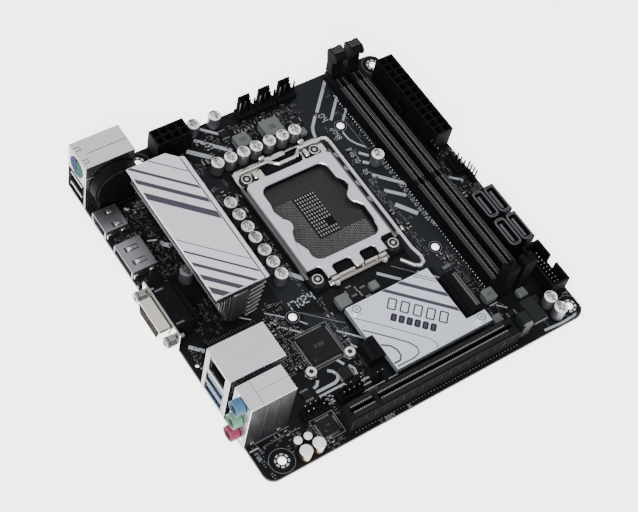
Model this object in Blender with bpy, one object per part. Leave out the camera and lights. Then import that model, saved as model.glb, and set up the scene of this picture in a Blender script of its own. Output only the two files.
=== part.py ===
"""Mini-ITX computer motherboard, modelled as separate pieces.

Every size below is in millimetres and is turned into metres by MM. The board frame has x towards the
front edge, y towards the CPU power connector, and z = 0 on the top face of the circuit board. The
empty named board_frame carries that frame, so that the whole object stands on z = 0 with its bounding
box centred on the world's z axis.
"""

import math

import bmesh
import bpy
from mathutils import Vector

MM = 0.001
GAP = 0.3

# Circuit board, standard mini-ITX outline with its four mounting holes
BOARD_SIZE = 170.0
BOARD_THICK = 1.6
BOARD_CORNER_R = 5.0
MOUNT_HOLE_R = 1.98
MOUNT_HOLES = ((-74.84, -78.65), (80.1, -78.65), (80.1, 78.83), (-51.98, 78.83))
COOLER_CENTRE = (5.2, 15.5)
COOLER_PITCH = 78.0
COOLER_HOLE_R = 2.0
PAD_R = 4.2
COOLER_PAD_R = 3.6
PAD_RAISE = 0.1
PIN_HOLE_R = 1.75
TOOLING_HOLE = (-82.3, -24.0)

# Rear reach of the VGA connector's metal mouth, which fixes the centre of the bounding box
REAR_X = -91.8
FRONT_X = BOARD_SIZE / 2
BACKPLATE_THICK = 1.9
BACKPLATE_WINDOW = 16.0
BOARD_TOP = BACKPLATE_THICK + GAP + BOARD_THICK
CENTRE_X = (REAR_X + FRONT_X) / 2

# CPU socket and its hold-down hardware
SOCKET_X = (-16.2, 27.8)
SOCKET_Y = (-10.2, 41.6)
SOCKET_TOP = 3.0
WELL_X = (-12.9, 25.0)
WELL_Y = (-6.9, 38.6)
WELL_FLOOR = 1.2
PLATE_X = (-17.6, 28.4)
PLATE_Y = (-15.9, 43.0)
PLATE_Z = (3.7, 4.9)
PLATE_HINGE_Y = 42.2
PLATE_HINGE_Z = 4.2
PLATE_NOTCH = 6.4
PLATE_EAR_Y = 43.3
PLATE_WINDOW_X = (-12.6, 24.7)
PLATE_WINDOW_Y = (-6.8, 38.4)
PLATE_WINDOW_R = 5.0
PLATE_GAPS_X = ((-6.0, 3.6), (8.6, 17.0))
PLATE_GAPS_Y = (-14.4, -11.2)
PLATE_EAR_X = (-8.4, 13.3)
PLATE_EAR_WIDE = 3.4
TONGUE_X = (4.3, 7.8)
TONGUE_END_Y = -17.2
WINDOW_TAB_HALF = 3.0
LEVER_AXIS_Y = 50.4
LEVER_AXIS_Z = 3.6
LEVER_R = 0.95
LEVER_ARM_X = 32.2
LEVER_CRANK = 4.4
LEVER_CRANK_RISE = 1.6
LEVER_START_X = -15.6
LEVER_ARM_END_Y = -20.0
ILM_BASE_Z = (1.0, 2.2)
ILM_BASE_X = (-19.5, 30.2)
ILM_BASE_Y = (-19.0, 53.6)
KEEPER_X = (-4.2, 17.4)
KEEPER_WIDE = 3.2
KEEPER_TOP = 6.4
CHEEK_X = (-10.9, 17.0)
CHEEK_WIDE = 2.2
CHEEK_Y = (44.0, 48.2)
CHEEK_TOP = 5.2
RAIL_X = (-19.5, 28.9)
RAIL_WIDE = 1.3
RAIL_Y = (-8.0, 38.0)
RAIL_TOP = 3.4
FRONT_LIP_X = (-10.0, 21.0)
FRONT_LIP_TOP = 3.6
HOOK_Y = (-10.7, -8.3)
HOOK_END_X = 34.6
HOOK_TOP = 5.0
ILM_SCREWS = ((-14.3, 46.2), (22.9, 46.2), (-15.2, -14.2), (26.0, -14.2))
ILM_SCREW_R = 1.55
ILM_HEAD_R = 2.7
ILM_HEAD_TALL = 1.6
BACKPLATE_X = (-23.0, 34.0)
BACKPLATE_Y = (-21.5, 53.0)

# Heatsinks
VRM_X = (-70.4, -46.0)
VRM_Y = (-14.7, 59.8)
VRM_TOP = 30.0
VRM_CAP = 4.0
VRM_LEDGE = 1.6
VRM_FINS = 6
VRM_FIN_DEPTH = 4.0
VRM_ROOT_X = (-65.0, -57.0)
VRM_CORNER = 4.4
VRM_SCREWS = ((-53.0, -6.0), (-53.0, 52.0))
VRM_SCREW_R = 1.5
VRM_HEAD_R = 2.7
VRM_BLIND_R = 1.9
CHIPSET_Z = (2.8, 6.0)
CHIPSET_OUTLINE = ((-10.8, -69.4), (40.9, -69.4), (40.9, -63.4), (30.7, -63.4), (30.7, -33.5),
                   (-13.9, -33.5), (-13.9, -49.9), (-10.8, -49.9))
CHIPSET_FOOT = (-3.0, 24.0, -62.0, -38.0)
CHIPSET_PINS = ((-10.2, -36.6), (36.6, -66.3))
PUSH_PIN_HEAD_R = 2.5

# Slots
DIMM_X = (55.7, 65.3)
DIMM_HALF = 3.3
DIMM_Y = (-60.3, 82.0)
DIMM_TOP = 7.5
DIMM_TOWER = 22.0
DIMM_GROOVE = 1.5
DIMM_GROOVE_END_Y = 73.0
LATCH_BAY_Y = 75.0
LATCH_BAY_HALF = 2.4
LATCH_STEM_HALF = 2.1
LATCH_FOOT_R = 3.0
LATCH_AXIS_Y = 79.2
LATCH_AXIS_Z = 3.6
PCIE_X = (-43.9, 45.2)
PCIE_Y = (-82.4, -74.0)
PCIE_TOP = 11.2
PCIE_KEY_X = (-29.6, -27.8)
PCIE_GROOVE_HALF = 0.9
PCIE_GROOVE_FLOOR = 3.4
PCIE_LATCH_Y = (-81.4, -75.4)
PCIE_TAB_Y = (-82.0, -69.8)
PCIE_TAB_REACH = 10.6
PCIE_LATCH_X = 50.4
PCIE_LATCH_Z = 3.6
M2_X = (32.1, 40.0)
M2_Y = (-62.6, -40.6)
M2_TOP = 8.5
M2_MOUTH_Z = (6.1, 7.5)
STANDOFFS = ((-42.5, -50.9), (-22.4, -50.8))
STANDOFF_R = 2.4
STANDOFF_TOP = 2.6
STANDOFF_BORE_R = 1.1
WIFI_X = (-18.6, -11.4)
WIFI_Y = (-60.8, -50.6)
WIFI_TOP = 6.6

# Power connectors, 4.2 mm pitch
POWER_PITCH = 4.2
POWER_TOP = 12.8
ATX_CENTRE = (79.6, 47.1)
EPS_CENTRE = (-35.4, 79.8)

# Headers and drive ports
FAN_HEADERS = ((7.0, 81.0), (18.1, 81.0), (29.2, 81.0))
FAN_HEADER_HALF = (5.0, 2.9)
FAN_WALL_TOP = 12.0
FAN_PIN_TOP = 11.2
HEADER_PIN_TOP = 8.4
PANEL_HEADER = (80.0, 9.6)
USB2_HEADER = (-51.0, -66.6)
AUDIO_HEADER = (-33.0, -66.6)
USB3_X = (74.2, 84.2)
USB3_Y = (-70.2, -46.4)
USB3_TOP = 9.0
USB3_WALL = 1.2
USB3_KEY_Y = (-60.4, -56.2)
SATA_SIZE = (6.2, 15.9, 8.6)
SATA_CENTRES = ((74.3, -19.0), (81.2, -19.0), (74.3, -36.2), (81.2, -36.2))
PIN_PITCH = 2.54

# Rear connectors
IO_FRONT = -85.6
STACK_TOP = 30.0
AUDIO_TOP = 33.3
PS2_STACK = (-61.4, 67.6, 82.7)
PS2_CENTRE = (75.15, 23.2)
PS2_SOCKET_R = 5.2
LAN_STACK = (-58.9, -50.2, -32.2)
LAN_MOUTH = (-47.1, -35.3, 18.2, 28.0)
USB_MOUTH_TALL = 5.6
USB_MOUTH_DEEP = 11.0
HDMI_PORT = (48.9, 61.1, 11.4, 6.0)
DISPLAY_PORT = (25.4, 41.6, 12.4, 6.0)
VIDEO_MOUTH_DEEP = 8.5
VGA_FLANGE_X = (-86.0, -85.2)
VGA_FLANGE = (-14.4, 16.4, 12.6)
VGA_BODY = (-85.4, -76.0, -9.6, 11.6, 11.4)
JACKSCREW_Y = (-11.5, 13.5)
JACKSCREW_Z = 6.6
JACKSCREW_R = 2.7
AUDIO_BLOCK = (-86.2, -64.6, -66.4, -53.9)
JACK_Y = -60.2
JACK_HEIGHTS = (7.0, 18.0, 29.0)
JACK_R = 3.5
JACK_NECK_R = 2.7
JACK_BORE_R = 1.75
JACK_COLLAR_X = (-90.4, -86.5)

# Coin cell, standing on edge beside the rear stack
CELL_CENTRE = (-72.0, 16.0)
CELL_R = 10.0
HOLDER_R = 11.6
HOLDER_Y = (62.2, 67.2)
HOLDER_BACK_Y = 65.9
CELL_Y = (62.4, 65.6)

# Chips as x, y extents
IO_CHIP = (-39.2, -24.6, -48.5, -33.9)
AUDIO_CHIP = (-53.6, -46.0, -78.4, -71.2)

# Coils as x, y, half width and height, then capacitors
CHOKES = ((12.3, 66.5, 4.9, 4.6), (-3.6, 66.8, 3.7, 3.6), (49.2, -57.0, 3.0, 3.6))
CAPACITORS = ((46.4, 28.3), (-65.2, 14.6), (70.9, -73.2))
CAPACITOR_R = 3.1
CAPACITOR_TOP = 8.6


# ---------------------------------------------------------------- plain solids

def prism(outline, low, high, axis="Z"):
    """A straight prism: the outline's points lie in the plane across the axis, counter-clockwise."""
    place = {
        "Z": lambda a, b, h: (a, b, h),
        "X": lambda a, b, h: (h, a, b),
        "Y": lambda a, b, h: (b, h, a),
    }[axis]
    count = len(outline)
    verts = [place(a, b, low) for a, b in outline]
    verts += [place(a, b, high) for a, b in outline]
    faces = [tuple(reversed(range(count))), tuple(range(count, 2 * count))]
    for i in range(count):
        j = (i + 1) % count
        faces.append((i, j, count + j, count + i))
    return verts, faces


def rectangle(a0, a1, b0, b1):
    return [(a0, b0), (a1, b0), (a1, b1), (a0, b1)]


def box(x0, x1, y0, y1, z0, z1):
    return prism(rectangle(x0, x1, y0, y1), z0, z1)


def circle(a, b, radius, sides=16, turn=0.0):
    return [
        (a + radius * math.cos(turn + math.tau * i / sides),
         b + radius * math.sin(turn + math.tau * i / sides))
        for i in range(sides)
    ]


def rounded(a0, a1, b0, b1, radius, steps=4):
    """A rectangle with quarter-round corners."""
    points = []
    corners = ((a1 - radius, b0 + radius, -90), (a1 - radius, b1 - radius, 0),
               (a0 + radius, b1 - radius, 90), (a0 + radius, b0 + radius, 180))
    for ca, cb, start in corners:
        for i in range(steps + 1):
            angle = math.radians(start + 90 * i / steps)
            points.append((ca + radius * math.cos(angle), cb + radius * math.sin(angle)))
    return points


def rod(points, radius, sides=8):
    """A bent round bar that follows the points, with mitred bends and flat ends."""
    path = [Vector(p) for p in points]
    verts = []
    side = None
    for i, here in enumerate(path):
        ahead = (path[i + 1] - here).normalized() if i + 1 < len(path) else None
        behind = (here - path[i - 1]).normalized() if i else None
        along = ((ahead or behind) + (behind or ahead)).normalized()
        if side is None:
            side = along.orthogonal().normalized()
        side = (side - along * side.dot(along)).normalized()
        up = along.cross(side)
        mitre = 1.0 / max(0.5, along.dot(ahead or behind))
        bend = (ahead - behind) if ahead and behind else Vector((0, 0, 0))
        bend = bend.normalized() if bend.length > 1e-6 else None
        for k in range(sides):
            angle = math.tau * k / sides
            spoke = side * math.cos(angle) + up * math.sin(angle)
            if bend:
                spoke += bend * spoke.dot(bend) * (mitre - 1.0)
            verts.append(tuple(here + spoke * radius))
    faces = [tuple(reversed(range(sides)))]
    for i in range(len(path) - 1):
        for k in range(sides):
            n = (k + 1) % sides
            a = i * sides
            faces.append((a + k, a + n, a + sides + n, a + sides + k))
    last = (len(path) - 1) * sides
    faces.append(tuple(range(last, last + sides)))
    return verts, faces


# ---------------------------------------------------------------- objects

def make_mesh(name, solids, centre=(0, 0, 0)):
    """One mesh from one or more solids given in millimetres, with its origin at centre."""
    bm = bmesh.new()
    for verts, faces in solids:
        made = [bm.verts.new(((v[0] - centre[0]) * MM, (v[1] - centre[1]) * MM,
                              (v[2] - centre[2]) * MM)) for v in verts]
        for face in faces:
            bm.faces.new([made[i] for i in face])
    bmesh.ops.recalc_face_normals(bm, faces=bm.faces[:])
    mesh = bpy.data.meshes.new(name)
    bm.to_mesh(mesh)
    bm.free()
    return mesh


def combine(mesh, other, operation):
    """The Boolean of two meshes, as a new mesh."""
    body = bpy.data.objects.new("body", mesh)
    tool = bpy.data.objects.new("tool", other)
    bpy.context.scene.collection.objects.link(body)
    bpy.context.scene.collection.objects.link(tool)
    modifier = body.modifiers.new("combine", "BOOLEAN")
    modifier.operation = operation
    modifier.solver = "EXACT"
    modifier.object = tool
    graph = bpy.context.evaluated_depsgraph_get()
    result = bpy.data.meshes.new_from_object(body.evaluated_get(graph))
    bpy.data.objects.remove(body)
    bpy.data.objects.remove(tool)
    return result


def material(name, colour, roughness, metallic):
    made = bpy.data.materials.new(name)
    made.use_nodes = True
    shader = made.node_tree.nodes["Principled BSDF"]
    shader.inputs["Base Color"].default_value = (*colour, 1.0)
    shader.inputs["Roughness"].default_value = roughness
    shader.inputs["Metallic"].default_value = metallic
    made.diffuse_color = (*colour, 1.0)
    return made


BLACK_PLASTIC = ((0.022, 0.023, 0.026), 0.5, 0.0)
GREY_PLASTIC = ((0.10, 0.11, 0.11), 0.4, 0.0)
NICKEL = ((0.66, 0.64, 0.58), 0.3, 1.0)
STEEL = ((0.74, 0.74, 0.76), 0.35, 1.0)
SILVER_PAINT = ((0.70, 0.71, 0.75), 0.42, 0.85)
CHIP = ((0.035, 0.035, 0.038), 0.45, 0.0)


def part(name, solids, finish, cut=(), join=(), centre=(0, 0, 0), smooth=False, start=None):
    """One named piece: its solids (or a mesh to start from), joined to others, with cutters taken away."""
    mesh = start or make_mesh(name, solids, centre)
    for extra in join:
        mesh = combine(mesh, make_mesh("join", [extra], centre), "UNION")
    if cut:
        mesh = combine(mesh, make_mesh("cut", cut, centre), "DIFFERENCE")
    mesh.name = name
    mesh.materials.clear()
    mesh.materials.append(material(name, *finish))
    if smooth:
        mesh.shade_smooth()
        mesh.set_sharp_from_angle(angle=math.radians(35))
    piece = bpy.data.objects.new(name, mesh)
    piece.parent = BOARD_FRAME
    piece.location = Vector(centre) * MM
    bpy.context.scene.collection.objects.link(piece)
    return piece


def clear_scene():
    for old in list(bpy.data.objects):
        bpy.data.objects.remove(old)


def make_frame():
    frame = bpy.data.objects.new("board_frame", None)
    frame.location = (-CENTRE_X * MM, 0.0, BOARD_TOP * MM)
    bpy.context.scene.collection.objects.link(frame)
    return frame


# ---------------------------------------------------------------- circuit board

def circuit_board():
    half = BOARD_SIZE / 2
    outline = rounded(-half, half, -half, half, BOARD_CORNER_R)
    low = -BOARD_THICK - 1
    holes = [prism(circle(x, y, MOUNT_HOLE_R, 20), low, 1) for x, y in MOUNT_HOLES]
    half_pitch = COOLER_PITCH / 2
    cooler = [(COOLER_CENTRE[0] + sx * half_pitch, COOLER_CENTRE[1] + sy * half_pitch)
              for sx in (-1, 1) for sy in (-1, 1)]
    holes += [prism(circle(x, y, COOLER_HOLE_R, 20), low, 1) for x, y in cooler]
    holes.append(prism(circle(*TOOLING_HOLE, 1.0, 12), low, 1))
    for x, y in ILM_SCREWS + VRM_SCREWS + CHIPSET_PINS:
        holes.append(prism(circle(x, y, PIN_HOLE_R + GAP, 12), low, 1))
    pads = [prism(circle(x, y, PAD_R, 20), -BOARD_THICK - PAD_RAISE, PAD_RAISE) for x, y in MOUNT_HOLES]
    pads += [prism(circle(x, y, COOLER_PAD_R, 20), -BOARD_THICK - PAD_RAISE, PAD_RAISE) for x, y in cooler]
    laminate = make_mesh("laminate", [prism(outline, -BOARD_THICK, 0)])
    laminate = combine(laminate, make_mesh("pads", pads), "UNION")
    part("pcb", [], ((0.028, 0.029, 0.033), 0.42, 0.0), cut=holes, start=laminate)


# ---------------------------------------------------------------- CPU socket

def cpu_socket():
    well = box(*WELL_X, *WELL_Y, WELL_FLOOR, SOCKET_TOP + 1)
    part("cpu_socket", [box(*SOCKET_X, *SOCKET_Y, GAP, SOCKET_TOP)],
         ((0.05, 0.05, 0.052), 0.55, 0.0), cut=[well])


def ilm_frame():
    """Pressed steel frame around the socket, with hinge cheeks and lever keepers at its rear."""
    z0, z1 = ILM_BASE_Z
    root = z1 - 0.6
    base = box(*ILM_BASE_X, *ILM_BASE_Y, z0, z1)
    middle = box(SOCKET_X[0] - GAP, SOCKET_X[1] + GAP, SOCKET_Y[0] - GAP, SOCKET_Y[1] + GAP, 0, 9)
    screw_holes = [prism(circle(x, y, ILM_SCREW_R + GAP, 12), 0, 9) for x, y in ILM_SCREWS]
    keeper_y = (LEVER_AXIS_Y + LEVER_R + GAP, ILM_BASE_Y[1] - 0.4)
    keepers = [box(x, x + KEEPER_WIDE, *keeper_y, root, KEEPER_TOP) for x in KEEPER_X]
    cheeks = [box(x, x + CHEEK_WIDE, *CHEEK_Y, root, CHEEK_TOP) for x in CHEEK_X]
    rails = [box(x, x + RAIL_WIDE, *RAIL_Y, root, RAIL_TOP) for x in RAIL_X]
    front_lip = box(*FRONT_LIP_X, ILM_BASE_Y[0], ILM_BASE_Y[0] + 1.4, root, FRONT_LIP_TOP)
    hook = box(ILM_BASE_X[1] - 0.2, HOOK_END_X - 0.4, HOOK_Y[0] + 0.1, HOOK_Y[1] - 0.1, z0 + 0.1, z1 - 0.1)
    hook_up = box(LEVER_ARM_X + LEVER_R + GAP, HOOK_END_X, *HOOK_Y, z0, HOOK_TOP)
    part("ilm_frame", [base], NICKEL, cut=[middle] + screw_holes,
         join=keepers + cheeks + rails + [front_lip, hook, hook_up])


def load_plate():
    """Window frame that presses on the processor. It turns about its rear hinge line."""
    x0, x1 = PLATE_X
    y0, y1 = PLATE_Y
    n = PLATE_NOTCH
    outline = [(x0 + n, y0), (x1 - n, y0), (x1 - n, y0 + n), (x1, y0 + n), (x1, y1 - 2),
               (x1 - 2, y1), (x0 + 2, y1), (x0, y1 - 2), (x0, y0 + n), (x0 + n, y0 + n)]
    window = prism(rounded(*PLATE_WINDOW_X, *PLATE_WINDOW_Y, PLATE_WINDOW_R, 4), 0, 9)
    gaps = [box(a, b, *PLATE_GAPS_Y, 0, 9) for a, b in PLATE_GAPS_X]
    tongue = box(*TONGUE_X, TONGUE_END_Y, y0 + 0.5, *PLATE_Z)
    ear_z = (PLATE_Z[0] + 0.2, PLATE_Z[1] - 0.2)
    ears = [box(x, x + PLATE_EAR_WIDE, y1 - 1, PLATE_EAR_Y, *ear_z) for x in PLATE_EAR_X]
    tabs = []
    middle_y = sum(PLATE_WINDOW_Y) / 2
    for x, side in zip(PLATE_WINDOW_X, (1, -1)):
        tab_x = sorted((x - side, x + side * WINDOW_TAB_HALF))
        tab_y = (middle_y - WINDOW_TAB_HALF, middle_y + WINDOW_TAB_HALF)
        tabs.append(prism(rounded(*tab_x, *tab_y, 1.8, 3), *PLATE_Z))
    part("load_plate", [prism(outline, *PLATE_Z)], ((0.80, 0.79, 0.82), 0.34, 1.0),
         cut=[window] + gaps, join=tabs + [tongue] + ears,
         centre=(0, PLATE_HINGE_Y, PLATE_HINGE_Z))


def load_lever():
    """Bent wire lever: shaft along the rear, a crank over the plate, and the arm with its handle."""
    y, z = LEVER_AXIS_Y, LEVER_AXIS_Z
    crank_y = y - LEVER_CRANK
    bend_y = y - LEVER_CRANK * 0.75
    crank_z = z + LEVER_CRANK_RISE
    bend_z = z + LEVER_CRANK_RISE * 0.75
    points = [(LEVER_START_X, y, z), (-0.2, y, z), (1.6, bend_y, bend_z), (3.0, crank_y, crank_z),
              (11.6, crank_y, crank_z), (13.4, bend_y, bend_z), (16.4, y, z),
              (LEVER_ARM_X - 2.4, y, z), (LEVER_ARM_X - 0.6, y - 0.8, z),
              (LEVER_ARM_X, y - 3.0, z), (LEVER_ARM_X, LEVER_ARM_END_Y, z),
              (LEVER_ARM_X + 0.8, -26.0, z + 0.4), (LEVER_ARM_X, -29.2, z + 0.8),
              (LEVER_ARM_X - 2.4, -30.4, z + 1.0), (LEVER_ARM_X - 5.0, -29.0, z + 1.0),
              (LEVER_ARM_X - 9.0, -23.6, z + 1.0)]
    part("load_lever", [rod(points, LEVER_R)], STEEL, centre=(0, y, z), smooth=True)


def ilm_screws():
    low = -BOARD_THICK + 0.2
    seat = ILM_BASE_Z[1] + GAP
    for i, (x, y) in enumerate(ILM_SCREWS):
        shank = prism(circle(x, y, ILM_SCREW_R, 12), low, seat + 0.5)
        head = prism(circle(x, y, ILM_HEAD_R, 12), seat, seat + ILM_HEAD_TALL)
        recess = prism(circle(x, y, 1.2, 6), seat + ILM_HEAD_TALL / 2, seat + 3)
        part(f"ilm_screw_{i + 1}", [head], NICKEL, cut=[recess], join=[shank], smooth=True)


def socket_backplate():
    """Steel plate below the board, which the load frame's screws pull up against."""
    top = -BOARD_THICK - GAP
    low = top - BACKPLATE_THICK
    x, y = COOLER_CENTRE
    half = BACKPLATE_WINDOW / 2
    window = prism(rounded(x - half, x + half, y - half, y + half, 3.0, 3), low - 1, top + 1)
    part("socket_backplate", [prism(rounded(*BACKPLATE_X, *BACKPLATE_Y, 6.0, 4), low, top)],
         ((0.09, 0.09, 0.095), 0.5, 0.6), cut=[window])


# ---------------------------------------------------------------- heatsinks

def vrm_heatsink():
    """Extruded block over the power stages: wide cap plate, sloped root and stacked side fins."""
    right = VRM_X[1]
    left = VRM_X[0]
    ledge = right + VRM_LEDGE
    tip = right - 1.0
    root = tip - VRM_FIN_DEPTH
    cap = VRM_TOP - VRM_CAP
    profile = [(VRM_ROOT_X[1], 1.0), (tip, 1.0)]
    step = (cap - 2.0) / VRM_FINS
    for i in range(VRM_FINS):
        z = 2.0 + i * step
        profile += [(tip, z), (root, z + 0.9), (root, z + step - 1.1), (tip, z + step - 0.4)]
    profile += [(ledge, cap - 0.4), (ledge, cap + 2.0), (right, cap + 2.4), (right, VRM_TOP),
                (left, VRM_TOP), (left, cap + 0.6), (VRM_ROOT_X[0], cap - 0.6)]
    outline = [(z, x) for x, z in reversed(profile)]
    blinds = [prism(circle(x, y, VRM_BLIND_R, 10), 0, 6) for x, y in VRM_SCREWS]
    end = VRM_Y[1]
    corner = prism([(right - 2.4, end + 1), (right + 3, end - VRM_CORNER), (right + 3, end + 1)],
                   cap + 0.5, VRM_TOP + 1)
    part("vrm_heatsink", [prism(outline, *VRM_Y, axis="Y")], SILVER_PAINT, cut=blinds + [corner])


def vrm_screws():
    under = -BOARD_THICK - GAP
    for i, (x, y) in enumerate(VRM_SCREWS):
        head = prism(circle(x, y, VRM_HEAD_R, 12), under - 1.6, under)
        shank = prism(circle(x, y, VRM_SCREW_R, 10), under - 0.5, 5.2)
        part(f"vrm_screw_{i + 1}", [head], STEEL, join=[shank], smooth=True)


def chipset_heatsink():
    z0, z1 = CHIPSET_Z
    foot = box(*CHIPSET_FOOT, 1.1, z0 + 0.5)
    holes = [prism(circle(x, y, PIN_HOLE_R + GAP, 12), z0 - 1, z1 + 1) for x, y in CHIPSET_PINS]
    part("chipset_heatsink", [prism(CHIPSET_OUTLINE, z0, z1)], SILVER_PAINT, cut=holes, join=[foot])


def chipset_pins():
    """Sprung push pins that go through the heatsink and the board."""
    for i, (x, y) in enumerate(CHIPSET_PINS):
        head = prism(circle(x, y, PUSH_PIN_HEAD_R, 12), CHIPSET_Z[1] + GAP, CHIPSET_Z[1] + 1.3)
        shank = prism(circle(x, y, PIN_HOLE_R - 0.25, 10), -BOARD_THICK - 1.6, CHIPSET_Z[1] + 0.8)
        part(f"heatsink_pin_{i + 1}", [head], GREY_PLASTIC, join=[shank], smooth=True)


# ---------------------------------------------------------------- slots

def dimm_slots():
    for i, x in enumerate(DIMM_X):
        body = box(x - DIMM_HALF, x + DIMM_HALF, DIMM_Y[0] + 4, DIMM_Y[1], GAP, DIMM_TOP)
        tower = box(x - DIMM_HALF, x + DIMM_HALF, DIMM_Y[0], DIMM_Y[0] + 5.6, GAP, DIMM_TOWER)
        half = DIMM_GROOVE / 2
        groove = box(x - half, x + half, DIMM_Y[0] + 3.6, DIMM_GROOVE_END_Y, 2.6, DIMM_TOWER + 3)
        latch_bay = box(x - LATCH_BAY_HALF, x + LATCH_BAY_HALF, LATCH_BAY_Y, 90.0, -1.0, 20.0)
        cheek_step = box(x - 5, x + 5, LATCH_BAY_Y, 90.0, DIMM_TOP - 1.0, 20.0)
        piece = part(f"dimm_slot_{i + 1}", [body], BLACK_PLASTIC, join=[tower], cut=[groove])
        for cutter in (cheek_step, latch_bay):
            piece.data = combine(piece.data, make_mesh("cut", [cutter]), "DIFFERENCE")


def dimm_latches():
    """Each latch turns outwards on a pivot low in the slot's end."""
    y, z = LATCH_AXIS_Y, LATCH_AXIS_Z
    foot = [(y + LATCH_FOOT_R * math.cos(a), z + LATCH_FOOT_R * math.sin(a))
            for a in (math.radians(150 + 240 * k / 10) for k in range(11))]
    stem = foot + [(y + 2.6, 9.0), (y - 2.6, 9.0)]
    head = [(y - 2.8, 7.9), (y + 2.9, 7.9), (y + 3.2, 14.0), (y + 4.3, 19.0), (y + 4.3, DIMM_TOWER),
            (y - 1.2, DIMM_TOWER), (y - 2.8, 17.0)]
    for i, x in enumerate(DIMM_X):
        part(f"dimm_latch_{i + 1}", [prism(head, x - DIMM_HALF, x + DIMM_HALF, axis="X")], BLACK_PLASTIC,
             join=[prism(stem, x - LATCH_STEM_HALF, x + LATCH_STEM_HALF, axis="X")], centre=(x, y, z))


def pcie_slot():
    x0, x1 = PCIE_X
    middle = (PCIE_Y[0] + PCIE_Y[1]) / 2 + 0.7
    groove_y = (middle - PCIE_GROOVE_HALF, middle + PCIE_GROOVE_HALF)
    grooves = [box(a, b, *groove_y, PCIE_GROOVE_FLOOR, 20)
               for a, b in ((x0 + 2.0, PCIE_KEY_X[0]), (PCIE_KEY_X[1], x1 - 1.2))]
    foot = box(x1 - 0.5, PCIE_LATCH_X - 3.4, PCIE_Y[0] + 1.0, PCIE_Y[1] - 0.4, GAP, 5.0)
    part("pcie_slot", [box(x0, x1, *PCIE_Y, GAP, PCIE_TOP)], GREY_PLASTIC, cut=grooves, join=[foot])


def pcie_latch():
    """Hook at the front end of the graphics slot. Its thumb tab is pushed down and out."""
    x, z = PCIE_LATCH_X, PCIE_LATCH_Z
    reach = x + PCIE_TAB_REACH
    foot = [(x + 2.8 * math.cos(a), z + 2.8 * math.sin(a))
            for a in (math.radians(-210 + 240 * k / 10) for k in range(11))]
    hook = foot + [(x + 3.0, 8.6), (reach, 9.6), (reach, 11.2), (x + 2.6, 11.0), (x + 1.0, 14.6),
                   (x - 3.0, 15.0), (x - 3.4, 12.6), (x - 1.4, 11.6), (x - 2.4, 8.0)]
    outline = [(zz, xx) for xx, zz in reversed(hook)]
    tab = box(x + 3.4, reach - 0.2, *PCIE_TAB_Y, 9.45, 11.35)
    part("pcie_latch", [prism(outline, *PCIE_LATCH_Y, axis="Y")], ((0.13, 0.15, 0.145), 0.3, 0.0),
         join=[tab], centre=(x, sum(PCIE_LATCH_Y) / 2, z))


def m2_slot():
    mouth = box(M2_X[0] - 1, M2_X[0] + 4.6, M2_Y[0] + 1, M2_Y[1] - 1, *M2_MOUTH_Z)
    step = box(M2_X[0] - 1, M2_X[0] + 1.6, M2_Y[0] - 1, M2_Y[1] + 1, M2_MOUTH_Z[1] + 0.1, 12)
    part("m2_slot", [box(*M2_X, *M2_Y, GAP, M2_TOP)], BLACK_PLASTIC, cut=[mouth, step])


def m2_standoffs():
    for i, (x, y) in enumerate(STANDOFFS):
        bore = prism(circle(x, y, STANDOFF_BORE_R, 10), GAP + 0.5, STANDOFF_TOP + 1)
        barrel = prism(circle(x, y, STANDOFF_R, 16), GAP, STANDOFF_TOP)
        part(f"m2_standoff_{i + 1}", [barrel], STEEL, cut=[bore], smooth=True)


def wifi_slot():
    middle = sum(WIFI_X) / 2
    slot = box(middle - 0.6, middle + 0.6, WIFI_Y[0] + 1.2, WIFI_Y[1] - 1.2, 2.0, 9)
    part("wifi_slot", [box(*WIFI_X, *WIFI_Y, GAP, WIFI_TOP)], BLACK_PLASTIC, cut=[slot])


# ---------------------------------------------------------------- power connectors and headers

def power_connector(name, centre, columns, rows, latch_side):
    """Box header with square pockets at the power pitch and a latch ramp on one side."""
    half_x = columns * POWER_PITCH / 2 + 0.45
    half_y = rows * POWER_PITCH / 2 + 0.45
    x, y = centre
    pockets = []
    for i in range(columns):
        for j in range(rows):
            px = x + (i - (columns - 1) / 2) * POWER_PITCH
            py = y + (j - (rows - 1) / 2) * POWER_PITCH
            pockets.append(box(px - 1.7, px + 1.7, py - 1.7, py + 1.7, 3.0, POWER_TOP + 1))
    dx, dy = latch_side
    ramp_x = sorted((x + dx * (half_x - 0.3) - abs(dy) * 2, x + dx * (half_x + 1.0) + abs(dy) * 2))
    ramp_y = sorted((y + dy * (half_y - 0.3) - abs(dx) * 2, y + dy * (half_y + 1.0) + abs(dx) * 2))
    ramp = box(*ramp_x, *ramp_y, POWER_TOP - 5.0, POWER_TOP - 1.8)
    part(name, [box(x - half_x, x + half_x, y - half_y, y + half_y, GAP, POWER_TOP)], BLACK_PLASTIC,
         cut=pockets, join=[ramp])


def pin_row(x, y, count, pitch, z0, z1, along="x"):
    pins = []
    for i in range(count):
        shift = (i - (count - 1) / 2) * pitch
        px = x + shift if along == "x" else x
        py = y + shift if along == "y" else y
        pins.append(box(px - 0.32, px + 0.32, py - 0.32, py + 0.32, z0, z1))
    return pins


def fan_headers():
    half_x, half_y = FAN_HEADER_HALF
    for i, (x, y) in enumerate(FAN_HEADERS):
        body = box(x - half_x, x + half_x, y - half_y, y + half_y, GAP, 3.4)
        wall = box(x - 3.9, x + 2.5, y + 1.8, y + half_y - 0.1, 3.0, FAN_WALL_TOP)
        part(f"fan_header_{i + 1}", [body], BLACK_PLASTIC,
             join=[wall] + pin_row(x, y - 0.6, 4, PIN_PITCH, 3.0, FAN_PIN_TOP))


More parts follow.
